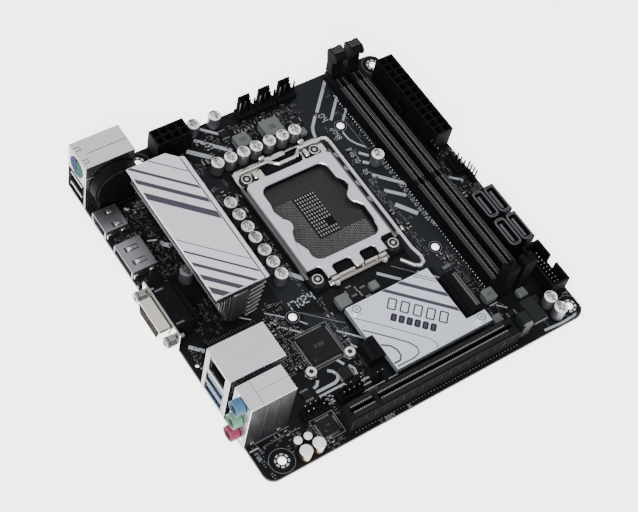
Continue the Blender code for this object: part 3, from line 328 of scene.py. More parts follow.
class Shape:
    """The faces of one piece in board millimetres, each with the name of its finish."""

    def __init__(self):
        self.verts, self.faces, self.marks = [], [], []

    def add(self, verts, faces, finish):
        base = len(self.verts)
        self.verts += verts
        self.faces += [tuple(base + i for i in face) for face in faces]
        self.marks += [finish] * len(faces)

    def loft(self, loops, finish):
        """Skin over a stack of closed loops of equal length, with flat ends."""
        count = len(loops[0])
        last = (len(loops) - 1) * count
        faces = [tuple(reversed(range(count)))]
        for a in range(0, last, count):
            for i in range(count):
                j = (i + 1) % count
                faces.append((a + i, a + j, a + count + j, a + count + i))
        faces.append(tuple(last + i for i in range(count)))
        self.add([p for loop in loops for p in loop], faces, finish)

    def prism(self, outline, z0, z1, finish, axis="Z"):
        place = {"Z": lambda a, b, h: (a, b, h), "X": lambda a, b, h: (h, a, b),
                 "Y": lambda a, b, h: (b, h, a)}[axis]
        self.loft([[place(a, b, z) for a, b in outline] for z in (z0, z1)], finish)

    def box(self, x0, x1, y0, y1, z0, z1, finish, edge=0.0):
        """A block. With an edge, every corner and rim is softened by that much."""
        (x0, x1), (y0, y1) = sorted((x0, x1)), sorted((y0, y1))
        if not edge:
            self.prism([(x0, y0), (x1, y0), (x1, y1), (x0, y1)], z0, z1, finish)
            return
        e = min(edge, (x1 - x0) / 3, (y1 - y0) / 3, (z1 - z0) / 3)

        def ring(drawn_in, z):
            a0, a1, b0, b1 = x0 + drawn_in, x1 - drawn_in, y0 + drawn_in, y1 - drawn_in
            return [(a0 + e, b0, z), (a1 - e, b0, z), (a1, b0 + e, z), (a1, b1 - e, z),
                    (a1 - e, b1, z), (a0 + e, b1, z), (a0, b1 - e, z), (a0, b0 + e, z)]

        self.loft([ring(e * 0.9, z0), ring(0, z0 + e), ring(0, z1 - e), ring(e * 0.9, z1)], finish)

    def boxes(self, finish, edge, *extents):
        """Blocks that share a finish and an edge, each as x0, x1, y0, y1, z0, z1."""
        for extent in extents:
            self.box(*extent, finish, edge)

    def row(self, count, step, x0, x1, y0, y1, z0, z1, finish, edge=0.0):
        """Equal blocks in a row along y, a step apart."""
        for k in range(count):
            self.box(x0, x1, y0 + k * step, y1 + k * step, z0, z1, finish, edge)

    def block(self, x, y, half_x, half_y, z0, z1, finish, edge=0.0):
        """A block that is centred on x, y."""
        self.box(x - half_x, x + half_x, y - half_y, y + half_y, z0, z1, finish, edge)

    def turned(self, centre, profile, finish, sides=24, axis="Z"):
        """A turned solid: profile is a list of (radius, height) from one end to the other."""
        place = {"Z": lambda a, b, h: (centre[0] + a, centre[1] + b, centre[2] + h),
                 "X": lambda a, b, h: (centre[0] + h, centre[1] + a, centre[2] + b),
                 "Y": lambda a, b, h: (centre[0] + b, centre[1] + h, centre[2] + a)}[axis]
        loops = []
        for radius, height in profile:
            loops.append([place(radius * math.cos(math.tau * k / sides),
                                radius * math.sin(math.tau * k / sides), height) for k in range(sides)])
        self.loft(loops, finish)

    def plate(self, outer, holes, z0, z1, finish, edge=0.0):
        """A flat sheet: outer is counter-clockwise, its holes clockwise, and edge chamfers the top."""
        loops = [outer] + list(holes)
        flat = [p for loop in loops for p in loop]
        count = len(flat)
        drawn_in = [p for loop in loops for p in inset(loop, edge)]
        fill = tessellate_polygon([[Vector((*p, 0)) for p in loop] for loop in loops])
        levels = [(flat, z0), (flat, z1 - edge), (drawn_in, z1)] if edge else [(flat, z0), (flat, z1)]
        top = (len(levels) - 1) * count
        verts = [(*p, z) for points, z in levels for p in points]
        faces = [tuple(i + top for i in t) for t in fill] + [tuple(reversed(t)) for t in fill]
        for level in range(0, top, count):
            start = level
            for loop in loops:
                for k in range(len(loop)):
                    a, b = start + k, start + (k + 1) % len(loop)
                    faces.append((a, b, b + count, a + count))
                start += len(loop)
        self.add(verts, faces, finish)

    def digits(self, text, x, y, z, tall, finish, turn=0.0, gap=0.35, thick=0.02, weight=0.16):
        """Plain seven-bar numerals printed flat, centred on x, y and turned in degrees."""
        wide, bar = tall * 0.5, tall * weight
        spots = {"a": (0, 1, 1, 0), "b": (1, 0.5, 0, 1), "c": (1, -0.5, 0, 1), "d": (0, -1, 1, 0),
                 "e": (-1, -0.5, 0, 1), "f": (-1, 0.5, 0, 1), "g": (0, 0, 1, 0)}
        lit = {"0": "abcdef", "1": "bc", "2": "abged", "3": "abgcd", "4": "fgbc", "5": "afgcd",
               "6": "afgedc", "7": "abc", "8": "abcdefg", "9": "abcdfg", "-": "g"}
        pitch = wide + tall * gap
        c, s = math.cos(math.radians(turn)), math.sin(math.radians(turn))
        for i, sign in enumerate(text):
            middle = (i - (len(text) - 1) / 2) * pitch
            for key in lit.get(sign, ""):
                u, v, flat, up = spots[key]
                px, py = middle + u * wide / 2, v * tall / 2
                ax, ay = (wide / 2 + bar / 2) * flat, (tall / 4 + bar / 2) * up
                ends = [(px - ax, py - ay), (px + ax, py + ay)]
                self.stroke([(x + a * c - b * s, y + a * s + b * c) for a, b in ends], bar, finish, z, thick)

    def stroke(self, points, width, finish, z=0.0, thick=0.03):
        """A flat printed line along the points, with mitred corners."""
        left, right = [], []
        path = [Vector(p) for p in points]
        for i, here in enumerate(path):
            ahead = (path[min(i + 1, len(path) - 1)] - path[max(i - 1, 0)]).normalized()
            across = Vector((-ahead.y, ahead.x)) * width / 2
            left.append(tuple(here + across))
            right.append(tuple(here - across))
        for i in range(len(path) - 1):
            quad = [right[i], right[i + 1], left[i + 1], left[i]]
            self.prism(quad, z, z + thick, finish)

    def outline(self, corners, width, finish, z=0.0, thick=0.03):
        """Separate printed lines round the closed outline, with square ends."""
        for a, b in zip(corners, corners[1:] + corners[:1]):
            self.stroke([a, b], width, finish, z, thick)


def soften(made, width):
    """Rounds the hard edges a little, so that they catch the light."""
    weld = made.modifiers.new("weld", "WELD")
    weld.merge_threshold = 0.00001
    bevel = made.modifiers.new("soft_edges", "BEVEL")
    bevel.width = width * MM
    bevel.segments = 2
    bevel.limit_method = "ANGLE"
    bevel.angle_limit = math.radians(40)
    bevel.use_clamp_overlap = True
    bevel.harden_normals = True


def piece(name, shape, body="board", stands_for=(), smooth=34, soft=0.0):
    """Makes the shape into an object that rides on a CAD body."""
    mesh = bpy.data.meshes.new(name)
    mesh.from_pydata([tuple(BOARD + Vector(v) * MM) for v in shape.verts], [], shape.faces)
    used = list(dict.fromkeys(shape.marks))
    for finish in used:
        mesh.materials.append(FINISHES[finish])
    mesh.polygons.foreach_set("material_index", [used.index(m) for m in shape.marks])
    bm = bmesh.new()
    bm.from_mesh(mesh)
    bmesh.ops.recalc_face_normals(bm, faces=bm.faces[:])
    bm.to_mesh(mesh)
    bm.free()
    if smooth:
        mesh.shade_smooth()
        mesh.set_sharp_from_angle(angle=math.radians(smooth))
    made = bpy.data.objects.new(name, mesh)
    bpy.context.scene.collection.objects.link(made)
    if soft:
        soften(made, soft)
    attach(made, body)
    if stands_for:
        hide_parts(*stands_for)
    return made


def arc(cx, cy, radius, start, end, steps=8):
    """Points along an arc, with angles in degrees."""
    angles = [math.radians(start + (end - start) * k / steps) for k in range(steps + 1)]
    return [(cx + radius * math.cos(a), cy + radius * math.sin(a)) for a in angles]


def sector(cx, cy, outer, inner, start, end, steps=8):
    """The outline of a ring or of a part of one."""
    return arc(cx, cy, outer, start, end, steps) + list(reversed(arc(cx, cy, inner, start, end, steps)))


def dress(node, finish, soft=0.0):
    """Gives a CAD node that keeps its own shape a finish from the list, and softer edges."""
    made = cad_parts[node]
    for spot in made.material_slots:
        spot.link = "OBJECT"
        spot.material = FINISHES[finish]
    if soft:
        soften(made, soft)


# ---------------------------------------------------------------- board surface

INK_Z = 0.012
# Lines as width and points
PRINTED_LINES = (
    (1.6, ((57, 85), (38.4, 66.4))),
    (1.5, ((36.6, 65.0), (31.6, 59.8), (30.4, 57.2), (29.5, 54.2))),
    (1.4, ((55, 72.6), (42, 59.4))),
    (1.1, ((54, 63.2), (46.4, 56.0))),
    (0.9, ((44.0, 52.6), (43.0, 50.0), (43.3, 46.0), (45.0, 42.4), (48.2, 38.2))),
    (0.8, ((54.0, 54.2), (52.6, 52.2))),
    (1.8, ((31.9, 42.2), (34.9, 38.2))),
    (1.8, ((31.9, 33.6), (34.9, 29.6))),
    (1.8, ((31.9, 24.0), (34.7, 19.8))),
    (1.8, ((31.9, 14.0), (34.7, 9.8))),
    (1.5, ((43.0, 37.2), (46.4, 33.6))),
    (1.7, ((41.7, 31.9), (43.9, 29.9))),
    (1.8, ((41.4, 23.6), (53.4, 11.4))),
    (1.8, ((41.4, 13.6), (49.0, 6.4))),
    (2.3, ((41.4, 4.6), (48.0, -4.6))),
    (1.5, ((-16.6, 83.0), (-10.0, 76.4))),
    (1.9, ((-22.6, 78.8), (-9.8, 65.4))),
    (2.4, ((-28.8, 74.8), (-24.6, 70.6), (-19.8, 66.0))),
    (2.3, ((-65.0, 36.8), (-60.0, 31.4))),
    (0.8, ((-69.4, 40.2), (-65.0, 38.6))),
    (1.2, ((-70.0, 60.0), (-66.2, 56.0))),
    (1.8, ((-81.0, -14.6), (-76.0, -19.6))),
    (0.6, ((-58.0, -9.4), (-50.4, -16.0))),
    (0.7, ((-43.6, -16.0), (-36.4, -22.4))),
    (0.6, ((-32.6, -26.2), (-30.0, -29.6))),
    (0.8, ((-42.0, -24.4), (-34.4, -32.0))),
    (0.9, ((-20.6, -38.4), (-11.6, -47.6))),
    (2.2, ((-23.2, -3.8), (-18.4, -9.6))),
    (1.4, ((-45.0, -59.3), (-35.4, -59.3), (-33.6, -58.6), (-32.6, -57.4), (-32.4, -56.0))),
    (1.4, ((-35.2, -52.8), (-33.4, -54.2), (-32.8, -55.6))),
    (1.3, ((-45.0, -57.2), (-43.0, -56.6), (-41.4, -54.8))),
    (1.0, ((-45.0, -61.6), (-32.0, -61.6))),
    (0.7, ((-45.0, -64.1), (-39.6, -64.1))),
    (0.6, ((-45.0, -66.4), (-40.2, -66.4))),
    (1.2, ((-28.6, -50.4), (-27.0, -53.8))),
    (1.0, ((-25.4, -55.0), (-24.2, -57.4), (-24.8, -60.4))),
    (1.0, ((-19.2, -47.0), (-17.0, -50.0))),
    (0.8, ((-25.0, -64.0), (-21.0, -64.0))),
    (0.6, ((-26.0, -66.3), (-21.0, -66.3))),
    (0.5, ((-28.0, -68.9), (-16.0, -68.9))),
    (0.5, ((-14.0, -68.9), (-9.0, -68.9))),
    (0.6, ((-84.4, -69.0), (-80.0, -69.0))),
    (1.5, ((12.0, -22.4), (20.0, -30.4))),
    (0.9, ((29.0, -30.2), (36.4, -38.2))),
    (1.2, ((73.4, 5.6), (78.6, 1.0))),
    (0.6, ((50.4, -62.0), (54.2, -65.6))),
    (0.4, ((47.4, -61.0), (52.0, -61.0))),
    (1.2, ((62.0, -83.2), (72.0, -83.9), (79.0, -83.6), (83.2, -80.6))),
)
THIN_LINES = (
    (0.3, ((-31.0, -22.0), (-15.0, -37.0))),
    (0.3, ((20.0, -22.4), (36.0, -38.4))),
    (0.3, ((-81.0, -66.8), (-64.0, -66.8))),
    (0.25, ((-80.0, -69.6), (-60.0, -69.6))),
    (0.4, ((82.0, -72.0), (84.6, -72.0))),
    (0.25, ((48.0, 37.0), (52.5, 37.0), (52.5, 57.0), (48.0, 57.0), (48.0, 37.0))),
)
SLATE_AREAS = (
    ((30.5, -31), (52.2, -31), (52.2, 44), (50, 60), (55, 70), (57, 84.8), (36, 84.8), (29, 74), (29, 54),
     (30.5, 50)),
    ((-34.5, -19.5), (-20.5, -19.5), (-20.5, 0), (-26, 6), (-26, 44), (-21, 50), (-29, 66), (-44, 80),
     (-44, 60), (-33, 48)),
    ((-20.5, -48), (-14.2, -48), (-14.2, -33), (-28.6, -23.0), (-29.6, -26.5), (-31.4, -28.6)),
    ((-19.6, 77.4), (-8.4, 66.6), (-14.2, 66.6), (-24.6, 77.4)),
    ((36.5, -31), (52.2, -31), (52.2, -44), (41, -40), (36.5, -38)),
)


# Which cooler holes each slate area runs round, and how far from them it stays
SLATE_CUTS = {0: (2, 3), 1: (1,)}
SLATE_CUT_R = 3.7


def circle(x, y, radius, steps=28):
    """A closed clockwise outline, as holes in a plate need."""
    return list(reversed(arc(x, y, radius, 0, 360, steps)[:-1]))


# Plain numerals: text, centre x and y, height, turn in degrees and finish
PRINTED_NUMERALS = (
    ("170", -29.6, -18.6, 3.7, 0, "ink"), ("24", -22.4, -18.4, 3.7, 0, "ink"),
    ("2600", 42.6, -34.6, 1.3, 0, "ink"), ("3105-2", 43.4, -37.4, 1.1, 0, "dim_ink"),
    ("450", 51.4, -12.0, 1.4, -90, "ink"), ("4", 51.4, -6.6, 1.4, -90, "ink"),
    ("88-01", 46.0, 61.8, 1.1, 0, "dim_ink"), ("16", -14.0, -84.0, 1.4, 0, "ink"),
    ("2024", -24.0, -84.0, 1.4, 0, "ink"), ("0736", -82.5, -72.5, 1.3, -90, "ink"),
    ("12", 4.0, 78.0, 1.2, 0, "dim_ink"), ("34", 15.0, 78.0, 1.2, 0, "dim_ink"),
    ("56", 26.0, 78.0, 1.2, 0, "dim_ink"),
)
LEVER_NUMERALS = (("04", 39.4, 62.4, 3.0, -90, "ink"), ("2048", 39.8, 51.6, 2.3, -90, "ink"),
                  ("31670", 39.9, 37.0, 2.3, -90, "ink"), ("26", 39.9, 26.4, 2.0, -90, "ink"),
                  ("508", 38.8, 20.6, 1.3, -90, "dim_ink"), ("7-14", 40.4, 20.6, 1.0, -90, "dim_ink"),
                  ("90", 38.8, 14.0, 1.3, -90, "dim_ink"), ("6402", 38.8, 4.0, 1.0, -90, "dim_ink"))
SLOT_NUMERALS = tuple((f"{11 + k * 37 % 89}", 50.2, 33.0 - k * 3.0, 1.4, -90, "ink") for k in range(15))


def board_surface():
    dress("pcb", "mask")
    bands = Shape()
    for k, outline in enumerate(SLATE_AREAS):
        cuts = [circle(*COOLER_HOLES[i], SLATE_CUT_R) for i in SLATE_CUTS.get(k, ())]
        bands.plate(outline, cuts, 0.002, 0.008, "slate")
    piece("slate_areas", bands, smooth=0)
    ink = Shape()
    for width, points in PRINTED_LINES:
        ink.stroke(points, width, "ink", INK_Z)
    for width, points in THIN_LINES:
        ink.stroke(points, width, "dim_ink", INK_Z)
    for text, x, y, tall, turn, finish in PRINTED_NUMERALS + LEVER_NUMERALS + SLOT_NUMERALS:
        ink.digits(text, x, y, INK_Z, tall, finish, turn=turn, thick=0.015)
    ink.turned((37.4, 65.6, INK_Z), [(0.6, 0.0), (0.5, 0.04)], "copper", 12)
    piece("printed_lines", ink, smooth=0)


# ---------------------------------------------------------------- processor socket

CONTACT_PITCH = 1.0
# The socket's well and the pit in its middle, as x0, x1, y0, y1
WELL = (-12.9, 25.0, -6.9, 38.6)
WELL_FLOOR = 1.22
PIT = (-0.6, 10.9, 4.4, 28.4)


def contact_field():
    """The well's grid of sprung contacts, in two halves that face opposite ways, and the centre pit. The far
    half takes the dark contact metal as painted shade.
    """
    shape = Shape()
    (x0, x1, y0, y1), (pit_x0, pit_x1, pit_y0, pit_y1), z = WELL, PIT, WELL_FLOOR
    shape.box(x0 + 0.1, x1 - 0.1, y0 + 0.1, y1 - 0.1, z - 0.01, z, "field")
    shape.box(*PIT, z, z + 0.02, "black")
    columns, rows = int((x1 - x0 - 1) / CONTACT_PITCH), int((y1 - y0 - 1) / CONTACT_PITCH)
    for i in range(columns):
        for j in range(rows):
            x, y = x0 + 1.0 + i * CONTACT_PITCH, y0 + 1.0 + j * CONTACT_PITCH + (i % 2) * 0.5
            if pit_x0 - 0.8 < x < pit_x1 + 0.8 and pit_y0 - 0.8 < y < pit_y1 + 0.8 or y > y1 - 0.6:
                continue
            near = x < pit_x0 and y < pit_y1 or y < pit_y0
            lean = 0.22 if near else -0.22
            foot = [(x - 0.2, y - 0.2), (x + 0.2, y - 0.2), (x + 0.2, y + 0.2), (x - 0.2, y + 0.2)]
            top = [(a * 0.5 + x * 0.5 + lean, b * 0.5 + y * 0.5 - lean, z + 0.35) for a, b in foot]
            # The far half's contacts take the dark metal: painted shade
            shape.loft([[(a, b, z) for a, b in foot], top], "contact" if near else "dark_contact_and_shade")
    for i in range(8):
        for j in range(12):
            if j in (2, 3) and i > 4:
                continue
            x, y = pit_x0 + 0.9 + i * 1.38, pit_y0 + 1.1 + j * 1.96
            for a, b, finish in ((-0.5, -0.18, "contact"), (-0.18, 0.18, "ceramic"), (0.18, 0.5, "contact")):
                shape.box(x - 0.3, x + 0.3, y + a, y + b, z, z + 0.4, finish)
    piece("socket_contacts", shape, smooth=0)
    dress("cpu_socket", "black", 0.2)


def plate_window():
    """Window outline with a half-round tab at each side and stepped corners."""
    x0, x1, y0, y1 = -12.4, 24.5, -6.9, 38.4
    middle = (y0 + y1) / 2
    right = arc(x1 - 4.2, y0 + 4.2, 4.2, -90, 0, 6) + [(x1, y0 + 5), (x1 + 0.9, y0 + 8)]
    right += [(x1 + 1.2, middle - 7)] + arc(x1 + 1.4, middle - 0.2, 4.4, 240, 120, 10)
    right += [(x1 + 1.2, middle + 6), (x1 + 0.9, middle + 9), (x1 - 1.4, middle + 12.4)]
    right += arc(x1 - 6.2, y1 - 4.6, 4.6, 0, 90, 6)
    left = arc(x0 + 4.6, y1 - 4.6, 4.6, 90, 180, 6) + [(x0, middle + 13), (x0 - 0.9, middle + 9)]
    left += arc(x0 - 1.4, middle - 0.2, 4.4, 60, -60, 10) + [(x0 - 0.9, middle - 9)]
    left += [(x0 + 1.8, y0 + 7)] + arc(x0 + 6.0, y0 + 4.8, 4.6, 180, 270, 6)
    return right + left


def load_plate():
    """The pressed sheet with its window, notches, folded sides and hinge tabs."""
    shape = Shape()
    x0, x1, y0, y1, z0, z1 = -17.6, 28.4, -15.9, 43.0, 3.9, 4.9
    outline = [(x0 + 6.8, y0), (-6.2, y0), (-6.2, -12.0), (-4.6, -11.0), (2.2, -11.0), (3.6, -12.2),
               (3.6, y0), (4.4, -17.2), (7.8, -17.2), (8.6, y0), (8.6, -12.2), (9.8, -11.0),
               (15.6, -11.0), (17.0, -12.2), (17.0, y0), (x1 - 6.8, y0), (x1 - 6.8, y0 + 5.4),
               (x1 - 5.6, y0 + 6.8), (x1, y0 + 6.8), (x1, y1 - 2), (x1 - 2, y1), (x0 + 2, y1),
               (x0, y1 - 2), (x0, y0 + 6.8), (x0 + 5.6, y0 + 6.8),
               (x0 + 6.8, y0 + 5.4)]
    shape.plate(outline, [list(reversed(plate_window()))], z0, z1, "steel", 0.28)
    # The folded sides take the darker copy of the steel: painted shade
    for side, x in ((-1, x0), (1, x1)):
        shape.box(x + side * 0.02, x - side * 0.6, y0 + 7.4, y1 - 2.4, 1.5, z0 + 0.4, "painted_fold_shade", 0.2)
    for x in (-8.4, 13.3):
        shape.box(x, x + 3.4, y1 - 0.6, 43.3, 3.95, 4.7, "steel", 0.15)
    shape.box(4.6, 7.6, -17.5, -16.4, 3.95, 4.75, "bronze", 0.2)
    piece("load_plate_sheet", shape, "load_plate", ["load_plate"])
    emboss = Shape()
    for x in (x0 + 1.6, x1 - 1.6):
        emboss.box(x - 0.1, x + 0.1, y0 + 9, y1 - 5, z1 - 0.02, z1 + 0.05, "steel", 0.04)
    piece("load_plate_ridges", emboss, "load_plate")


FRAME_LOW, FRAME_HIGH = 1.0, 2.2
# Rolled lips of the frame: x0, x1, y, z and radius
FRAME_BARS = ((-9.8, -5.4, -17.2, 3.4, 1.15), (16.0, 20.2, -17.2, 3.4, 1.15), (-5.2, 3.4, -16.6, 3.1, 0.8),
              (8.8, 15.8, -16.6, 3.1, 0.8))


def socket_frame():
    """The pressed frame round the socket: brackets, rails, notches, keepers and rolled lips. Its side rails
    take dark metal and its notches black blocks, as painted shade.
    """
    shape = Shape()
    low, high = FRAME_LOW, FRAME_HIGH
    shape.boxes("nickel", 0.35, (-18.6, -4.6, 43.9, 52.8, low, high), (16.4, 29.4, 43.9, 52.8, low, high))
    shape.boxes("nickel", 0.3, (-17.0, 27.6, 52.5, 53.5, low, high - 0.2))
    shape.boxes("nickel", 0.35, (-1.0, 10.2, 50.9, 53.5, low + 0.1, high + 0.7))
    # Side rails in dark metal: painted shade
    shape.boxes("dark_fin", 0.2, (-19.4, -18.0, -12.0, 44.0, low, 3.4), (28.9, 30.1, -12.0, 44.0, low, 3.4))
    # Black blocks at the front corners and behind the cutouts: painted shade
    shape.boxes("black", 0.3, (-19.4, -11.0, -19.0, -10.6, low, high - 0.1),
                (21.6, 30.1, -19.0, -10.6, low, high - 0.1))
    shape.boxes("nickel", 0.3, (-10.8, 21.4, -19.0, -16.2, low, high))
    shape.boxes("black", 0.3, (-10.8, 21.4, -16.1, -10.6, low, high - 0.1))
    shape.boxes("nickel", 0.4, (-10.0, 21.0, -19.0, -17.8, high - 0.2, 3.5))
    shape.boxes("nickel", 0.3, (30.0, 34.4, -10.7, -8.3, low + 0.1, high - 0.1),
                (33.5, 34.6, -10.7, -8.3, low, 5.0))
    for x in (-4.2, 17.4):
        shape.box(x, x + 3.2, 51.7, 53.2, high - 0.3, 6.2, "nickel", 0.4)
    for x in (-10.9, 17.0):
        shape.box(x, x + 2.2, 44.0, 48.2, high - 0.3, 5.2, "nickel", 0.4)
    for x0, x1, y, z, radius in FRAME_BARS:
        end = radius * 0.25
        shape.turned((x0, y, z), [(radius - end, 0.0), (radius, end), (radius, x1 - x0 - end),
                                  (radius - end, x1 - x0)], "nickel", 14, axis="X")
    for x in (-7.6, 18.2):
        shape.turned((x, -19.4, 1.2), [(1.3, 0.0), (1.5, 0.3), (1.5, 1.5), (1.0, 2.2)], "nickel", 16)
    piece("socket_frame", shape, stands_for=["ilm_frame"])


def frame_screws():
    dress("load_lever", "wire")
    shape = Shape()
    for i in range(4):
        node = f"ilm_screw_{i + 1}"
        dress(node, "end", 0.15)
        x, y, top = crown(node)
        shape.turned((x, y, top), [(2.45, -0.02), (2.45, 0.12), (2.15, 0.18), (2.05, -0.02)], "wire", 24)
        # Black discs under each head and round it on the frame are painted shadow
        shape.turned((x, y, top), [(2.0, -0.02), (2.0, 0.02)], "print", 20)
        shape.turned((x, y, top), [(0.95, 0.0), (0.95, 0.1), (0.6, 0.2)], "nickel", 6)
        shape.turned((x, y, FRAME_HIGH), [(3.6, 0.0), (3.6, 0.05)], "print", 24)
    piece("frame_screw_rings_and_shadows", shape)


# ---------------------------------------------------------------- heatsinks

def clip(outline, keep):
    """The part of a convex outline where keep, a signed distance, isn't negative."""
    made = []
    for (a, b) in zip(outline, outline[1:] + outline[:1]):
        da, db = keep(a), keep(b)
        if da >= 0:
            made.append(a)
        if (da >= 0) != (db >= 0):
            t = da / (da - db)
            made.append((a[0] + (b[0] - a[0]) * t, a[1] + (b[1] - a[1]) * t))
    return made


def band(area, start, width):
    """A stripe that falls at 45 degrees, where x + y = start, inside a convex outline."""
    half = width / math.sqrt(2)
    inside = clip(area, lambda p: p[0] + p[1] - start + half)
    return clip(inside, lambda p: start + half - p[0] - p[1])


# Stripes: x + y along the middle, and width
VRM_BANDS = ((-0.4, 0.5), (-9.8, 1.3), (-17.6, 2.0), (-26.2, 3.0), (-51.4, 0.4), (-58.0, 0.9), (-65.0, 1.5),
             (-72.2, 2.1), (-79.4, 2.7))


def vrm_heatsink():
    """A thin cap with a rail beside it, over slanted fins on the long side and plates at the end. Below the
    cap a black block and a core in dark metal are painted shade.
    """
    x0, x1, y0, y1, z0, z1 = span("vrm_heatsink")
    right = x1 - 2.4
    shape = Shape()
    cap = [(x0, y0), (right, y0), (right, y1 - 4.4), (right - 4.4, y1), (x0, y1)]
    shape.prism(cap, z1 - 1.2, z1, "plate")
    rail = [(right + 0.65, y0), (x1, y0), (x1, y1 - 5.2), (right + 0.65, y1 - 4.2)]
    shape.prism(rail, z1 - 1.6, z1 - 0.25, "plate")
    # Black block under the cap and the dark metal core below it: painted shade under the cap
    shape.box(x0 + 0.4, right + 0.9, y0 + 0.3, y1 - 5, z1 - 4.4, z1 - 1.1, "base")
    shape.box(-62.0, right - 5.0, y0 + 0.6, y1 - 1, z0, z1 - 4.3, "dark_fin", 2.2)
    step = (z1 - 6.5) / 7
    for k in range(7):
        z = z0 + 1.2 + k * step
        reach = right + 1.7 - (6 - k) * 0.32
        shape.loft([[(right - 6.0, y, z), (reach, y, z + step * 0.62), (reach, y, z + step * 0.80),
                     (right - 6.0, y, z + step * 0.34)] for y in (y0 + 0.2, y1 - 5.0)], "fin")
    for k in range(5):
        x = x0 + 1.6 + k * 1.45
        shape.box(x, x + 0.35, y0 - 0.5 + k * 0.2, y1 - 2, z1 - 9.0 - k * 3.6, z1 - 4.4, "front")
    piece("vrm_heatsink_block", shape, stands_for=["vrm_heatsink"], soft=0.25)
    paint = Shape()
    area = [(x0 + 0.3, y0 + 0.3), (right - 0.3, y0 + 0.3), (right - 0.3, y1 - 4.5), (right - 4.5, y1 - 0.3),
            (x0 + 0.3, y1 - 0.3)]
    for start, width in VRM_BANDS:
        paint.prism(band(area, start, width), z1 + 0.005, z1 + 0.03, "stripe")
    piece("vrm_stripes", paint, smooth=0)


def slanted_marks(cx, cy, tall, count):
    """A row of plain upright blocks that runs down at 45 degrees, as lists of corners."""
    along = Vector((1, -1)).normalized()
    up = Vector((1, 1)).normalized()
    for k in range(count):
        middle = Vector((cx, cy)) + along * (k - (count - 1) / 2) * tall * 1.08
        yield [tuple(middle + along * (a * tall * 0.32) + up * (b * tall / 2))
               for a, b in ((-1, -1), (1, -1), (1, 1), (-1, 1))]


CHIPSET_AREA = ((-13.6, -63.0), (30.5, -63.0), (30.5, -33.7), (-13.6, -33.7))
CHIPSET_BANDS = ((-27.3, 1.7), (-18.8, 1.8), (-11.3, 0.35), (-9.6, 0.35))
CHIPSET_LOOPS = (
    (0.36, ((-13.4, -39.0), (-3.0, -49.4), (9.4, -62.6), (11.4, -65.4), (11.6, -67.4), (10.8, -69.1))),
    (0.62, ((-13.4, -45.9), (-3.0, -56.3), (1.2, -61.0), (2.9, -64.4), (2.2, -67.0), (-1.1, -68.1),
            (-10.0, -68.1))),
    (0.80, ((-10.5, -55.8), (-7.0, -58.3), (-5.5, -61.2), (-5.6, -64.4), (-7.4, -66.2), (-10.5, -66.2))),
)


def chipset_heatsink():
    """Stripes, bent lines, two rows of plain blocks and two push pins on a flat plate."""
    dress("chipset_heatsink", "cool_plate", 0.25)
    z = span("chipset_heatsink")[5] + 0.005
    paint = Shape()
    for start, width in CHIPSET_BANDS:
        paint.prism(band(CHIPSET_AREA, start, width), z, z + 0.025, "stripe")
    for width, points in CHIPSET_LOOPS:
        paint.stroke(points, width, "stripe", z, 0.02)
    for cx, cy, tall, marks, solid in ((14.0, -49.6, 5.4, 5, False), (8.8, -53.6, 3.3, 6, True)):
        for slab in slanted_marks(cx, cy, tall, marks):
            if solid:
                paint.prism(slab, z, z + 0.02, "stripe")
            paint.outline(slab, 0.7, "stripe", z, 0.02)
    for i in (1, 2):
        x, y, top = crown(f"heatsink_pin_{i}")
        paint.stroke(arc(x, y, 1.75, 0, 360, 24), 0.4, "stripe", top + 0.01, 0.02)
        paint.stroke(arc(x, y, 0.5, 0, 360, 12), 0.3, "stripe", top + 0.01, 0.02)
    piece("chipset_stripes", paint, smooth=0)
    for i in (1, 2):
        dress(f"heatsink_pin_{i}", "cool_plate", 0.2)
        dress(f"vrm_screw_{i}", "steel", 0.2)


# ---------------------------------------------------------------- capacitors and coils

CAN_TOP = 8.0
CAN_R = 3.05
PRINTED_CAN_R = 3.0
REAR_ROW_Y = 58.15
REAR_ROW_X = (-22.8, -15.9, -8.9, -2.0, 5.2, 12.4, 19.2)
SIDE_COLUMN_X = -29.3
SIDE_COLUMN_Y = (36.6, 29.3, 22.1, 15.7, 8.1, 1.1, -5.8)
# Capacitors of the sound part: x, y, radius and height
SOUND_CANS = ((-65.9, -75.8, 1.85, 5.2), (-61.2, -76.1, 1.85, 5.2), (-65.7, -81.6, 2.85, 6.0),
              (-59.1, -81.3, 2.85, 6.0))


CAN_SPOTS = ([(x, REAR_ROW_Y) for x in REAR_ROW_X] + [(SIDE_COLUMN_X, y) for y in SIDE_COLUMN_Y]
             + [(-21.4, 82.2), (-9.9, 82.1), (46.4, 28.3), (70.9, -73.2), (71.6, -79.8)])


def can(shape, x, y, radius, top, seed, lid="can_top", body="can"):
    """Aluminium can capacitor on a moulded base, with numerals and a polarity patch printed on its lid."""
    shape.turned((x, y, 0), [(radius - 0.05, 0.05), (radius - 0.05, 0.8)], "base", 28)
    shape.turned((x, y, 0), [(radius - 0.3, 0.7), (radius - 0.02, 1.0), (radius, 1.4), (radius, top - 0.4)],
                 body, 28)
    shape.turned((x, y, 0), [(radius, top - 0.4), (radius - 0.1, top - 0.14), (radius - 0.4, top)], lid, 28)
    if radius < PRINTED_CAN_R:
        return
    rng = random.Random(seed)
    for up, (low, high) in ((1.5, (100, 999)), (0, (1000, 9999)), (-1.5, (10, 99))):
        shape.digits(str(rng.randint(low, high)), x, y - 0.35 + up, top, 1.1, "print", weight=0.26)
    shape.prism(arc(x, y, radius - 0.45, 48, 132, 8), top, top + 0.02, "print")


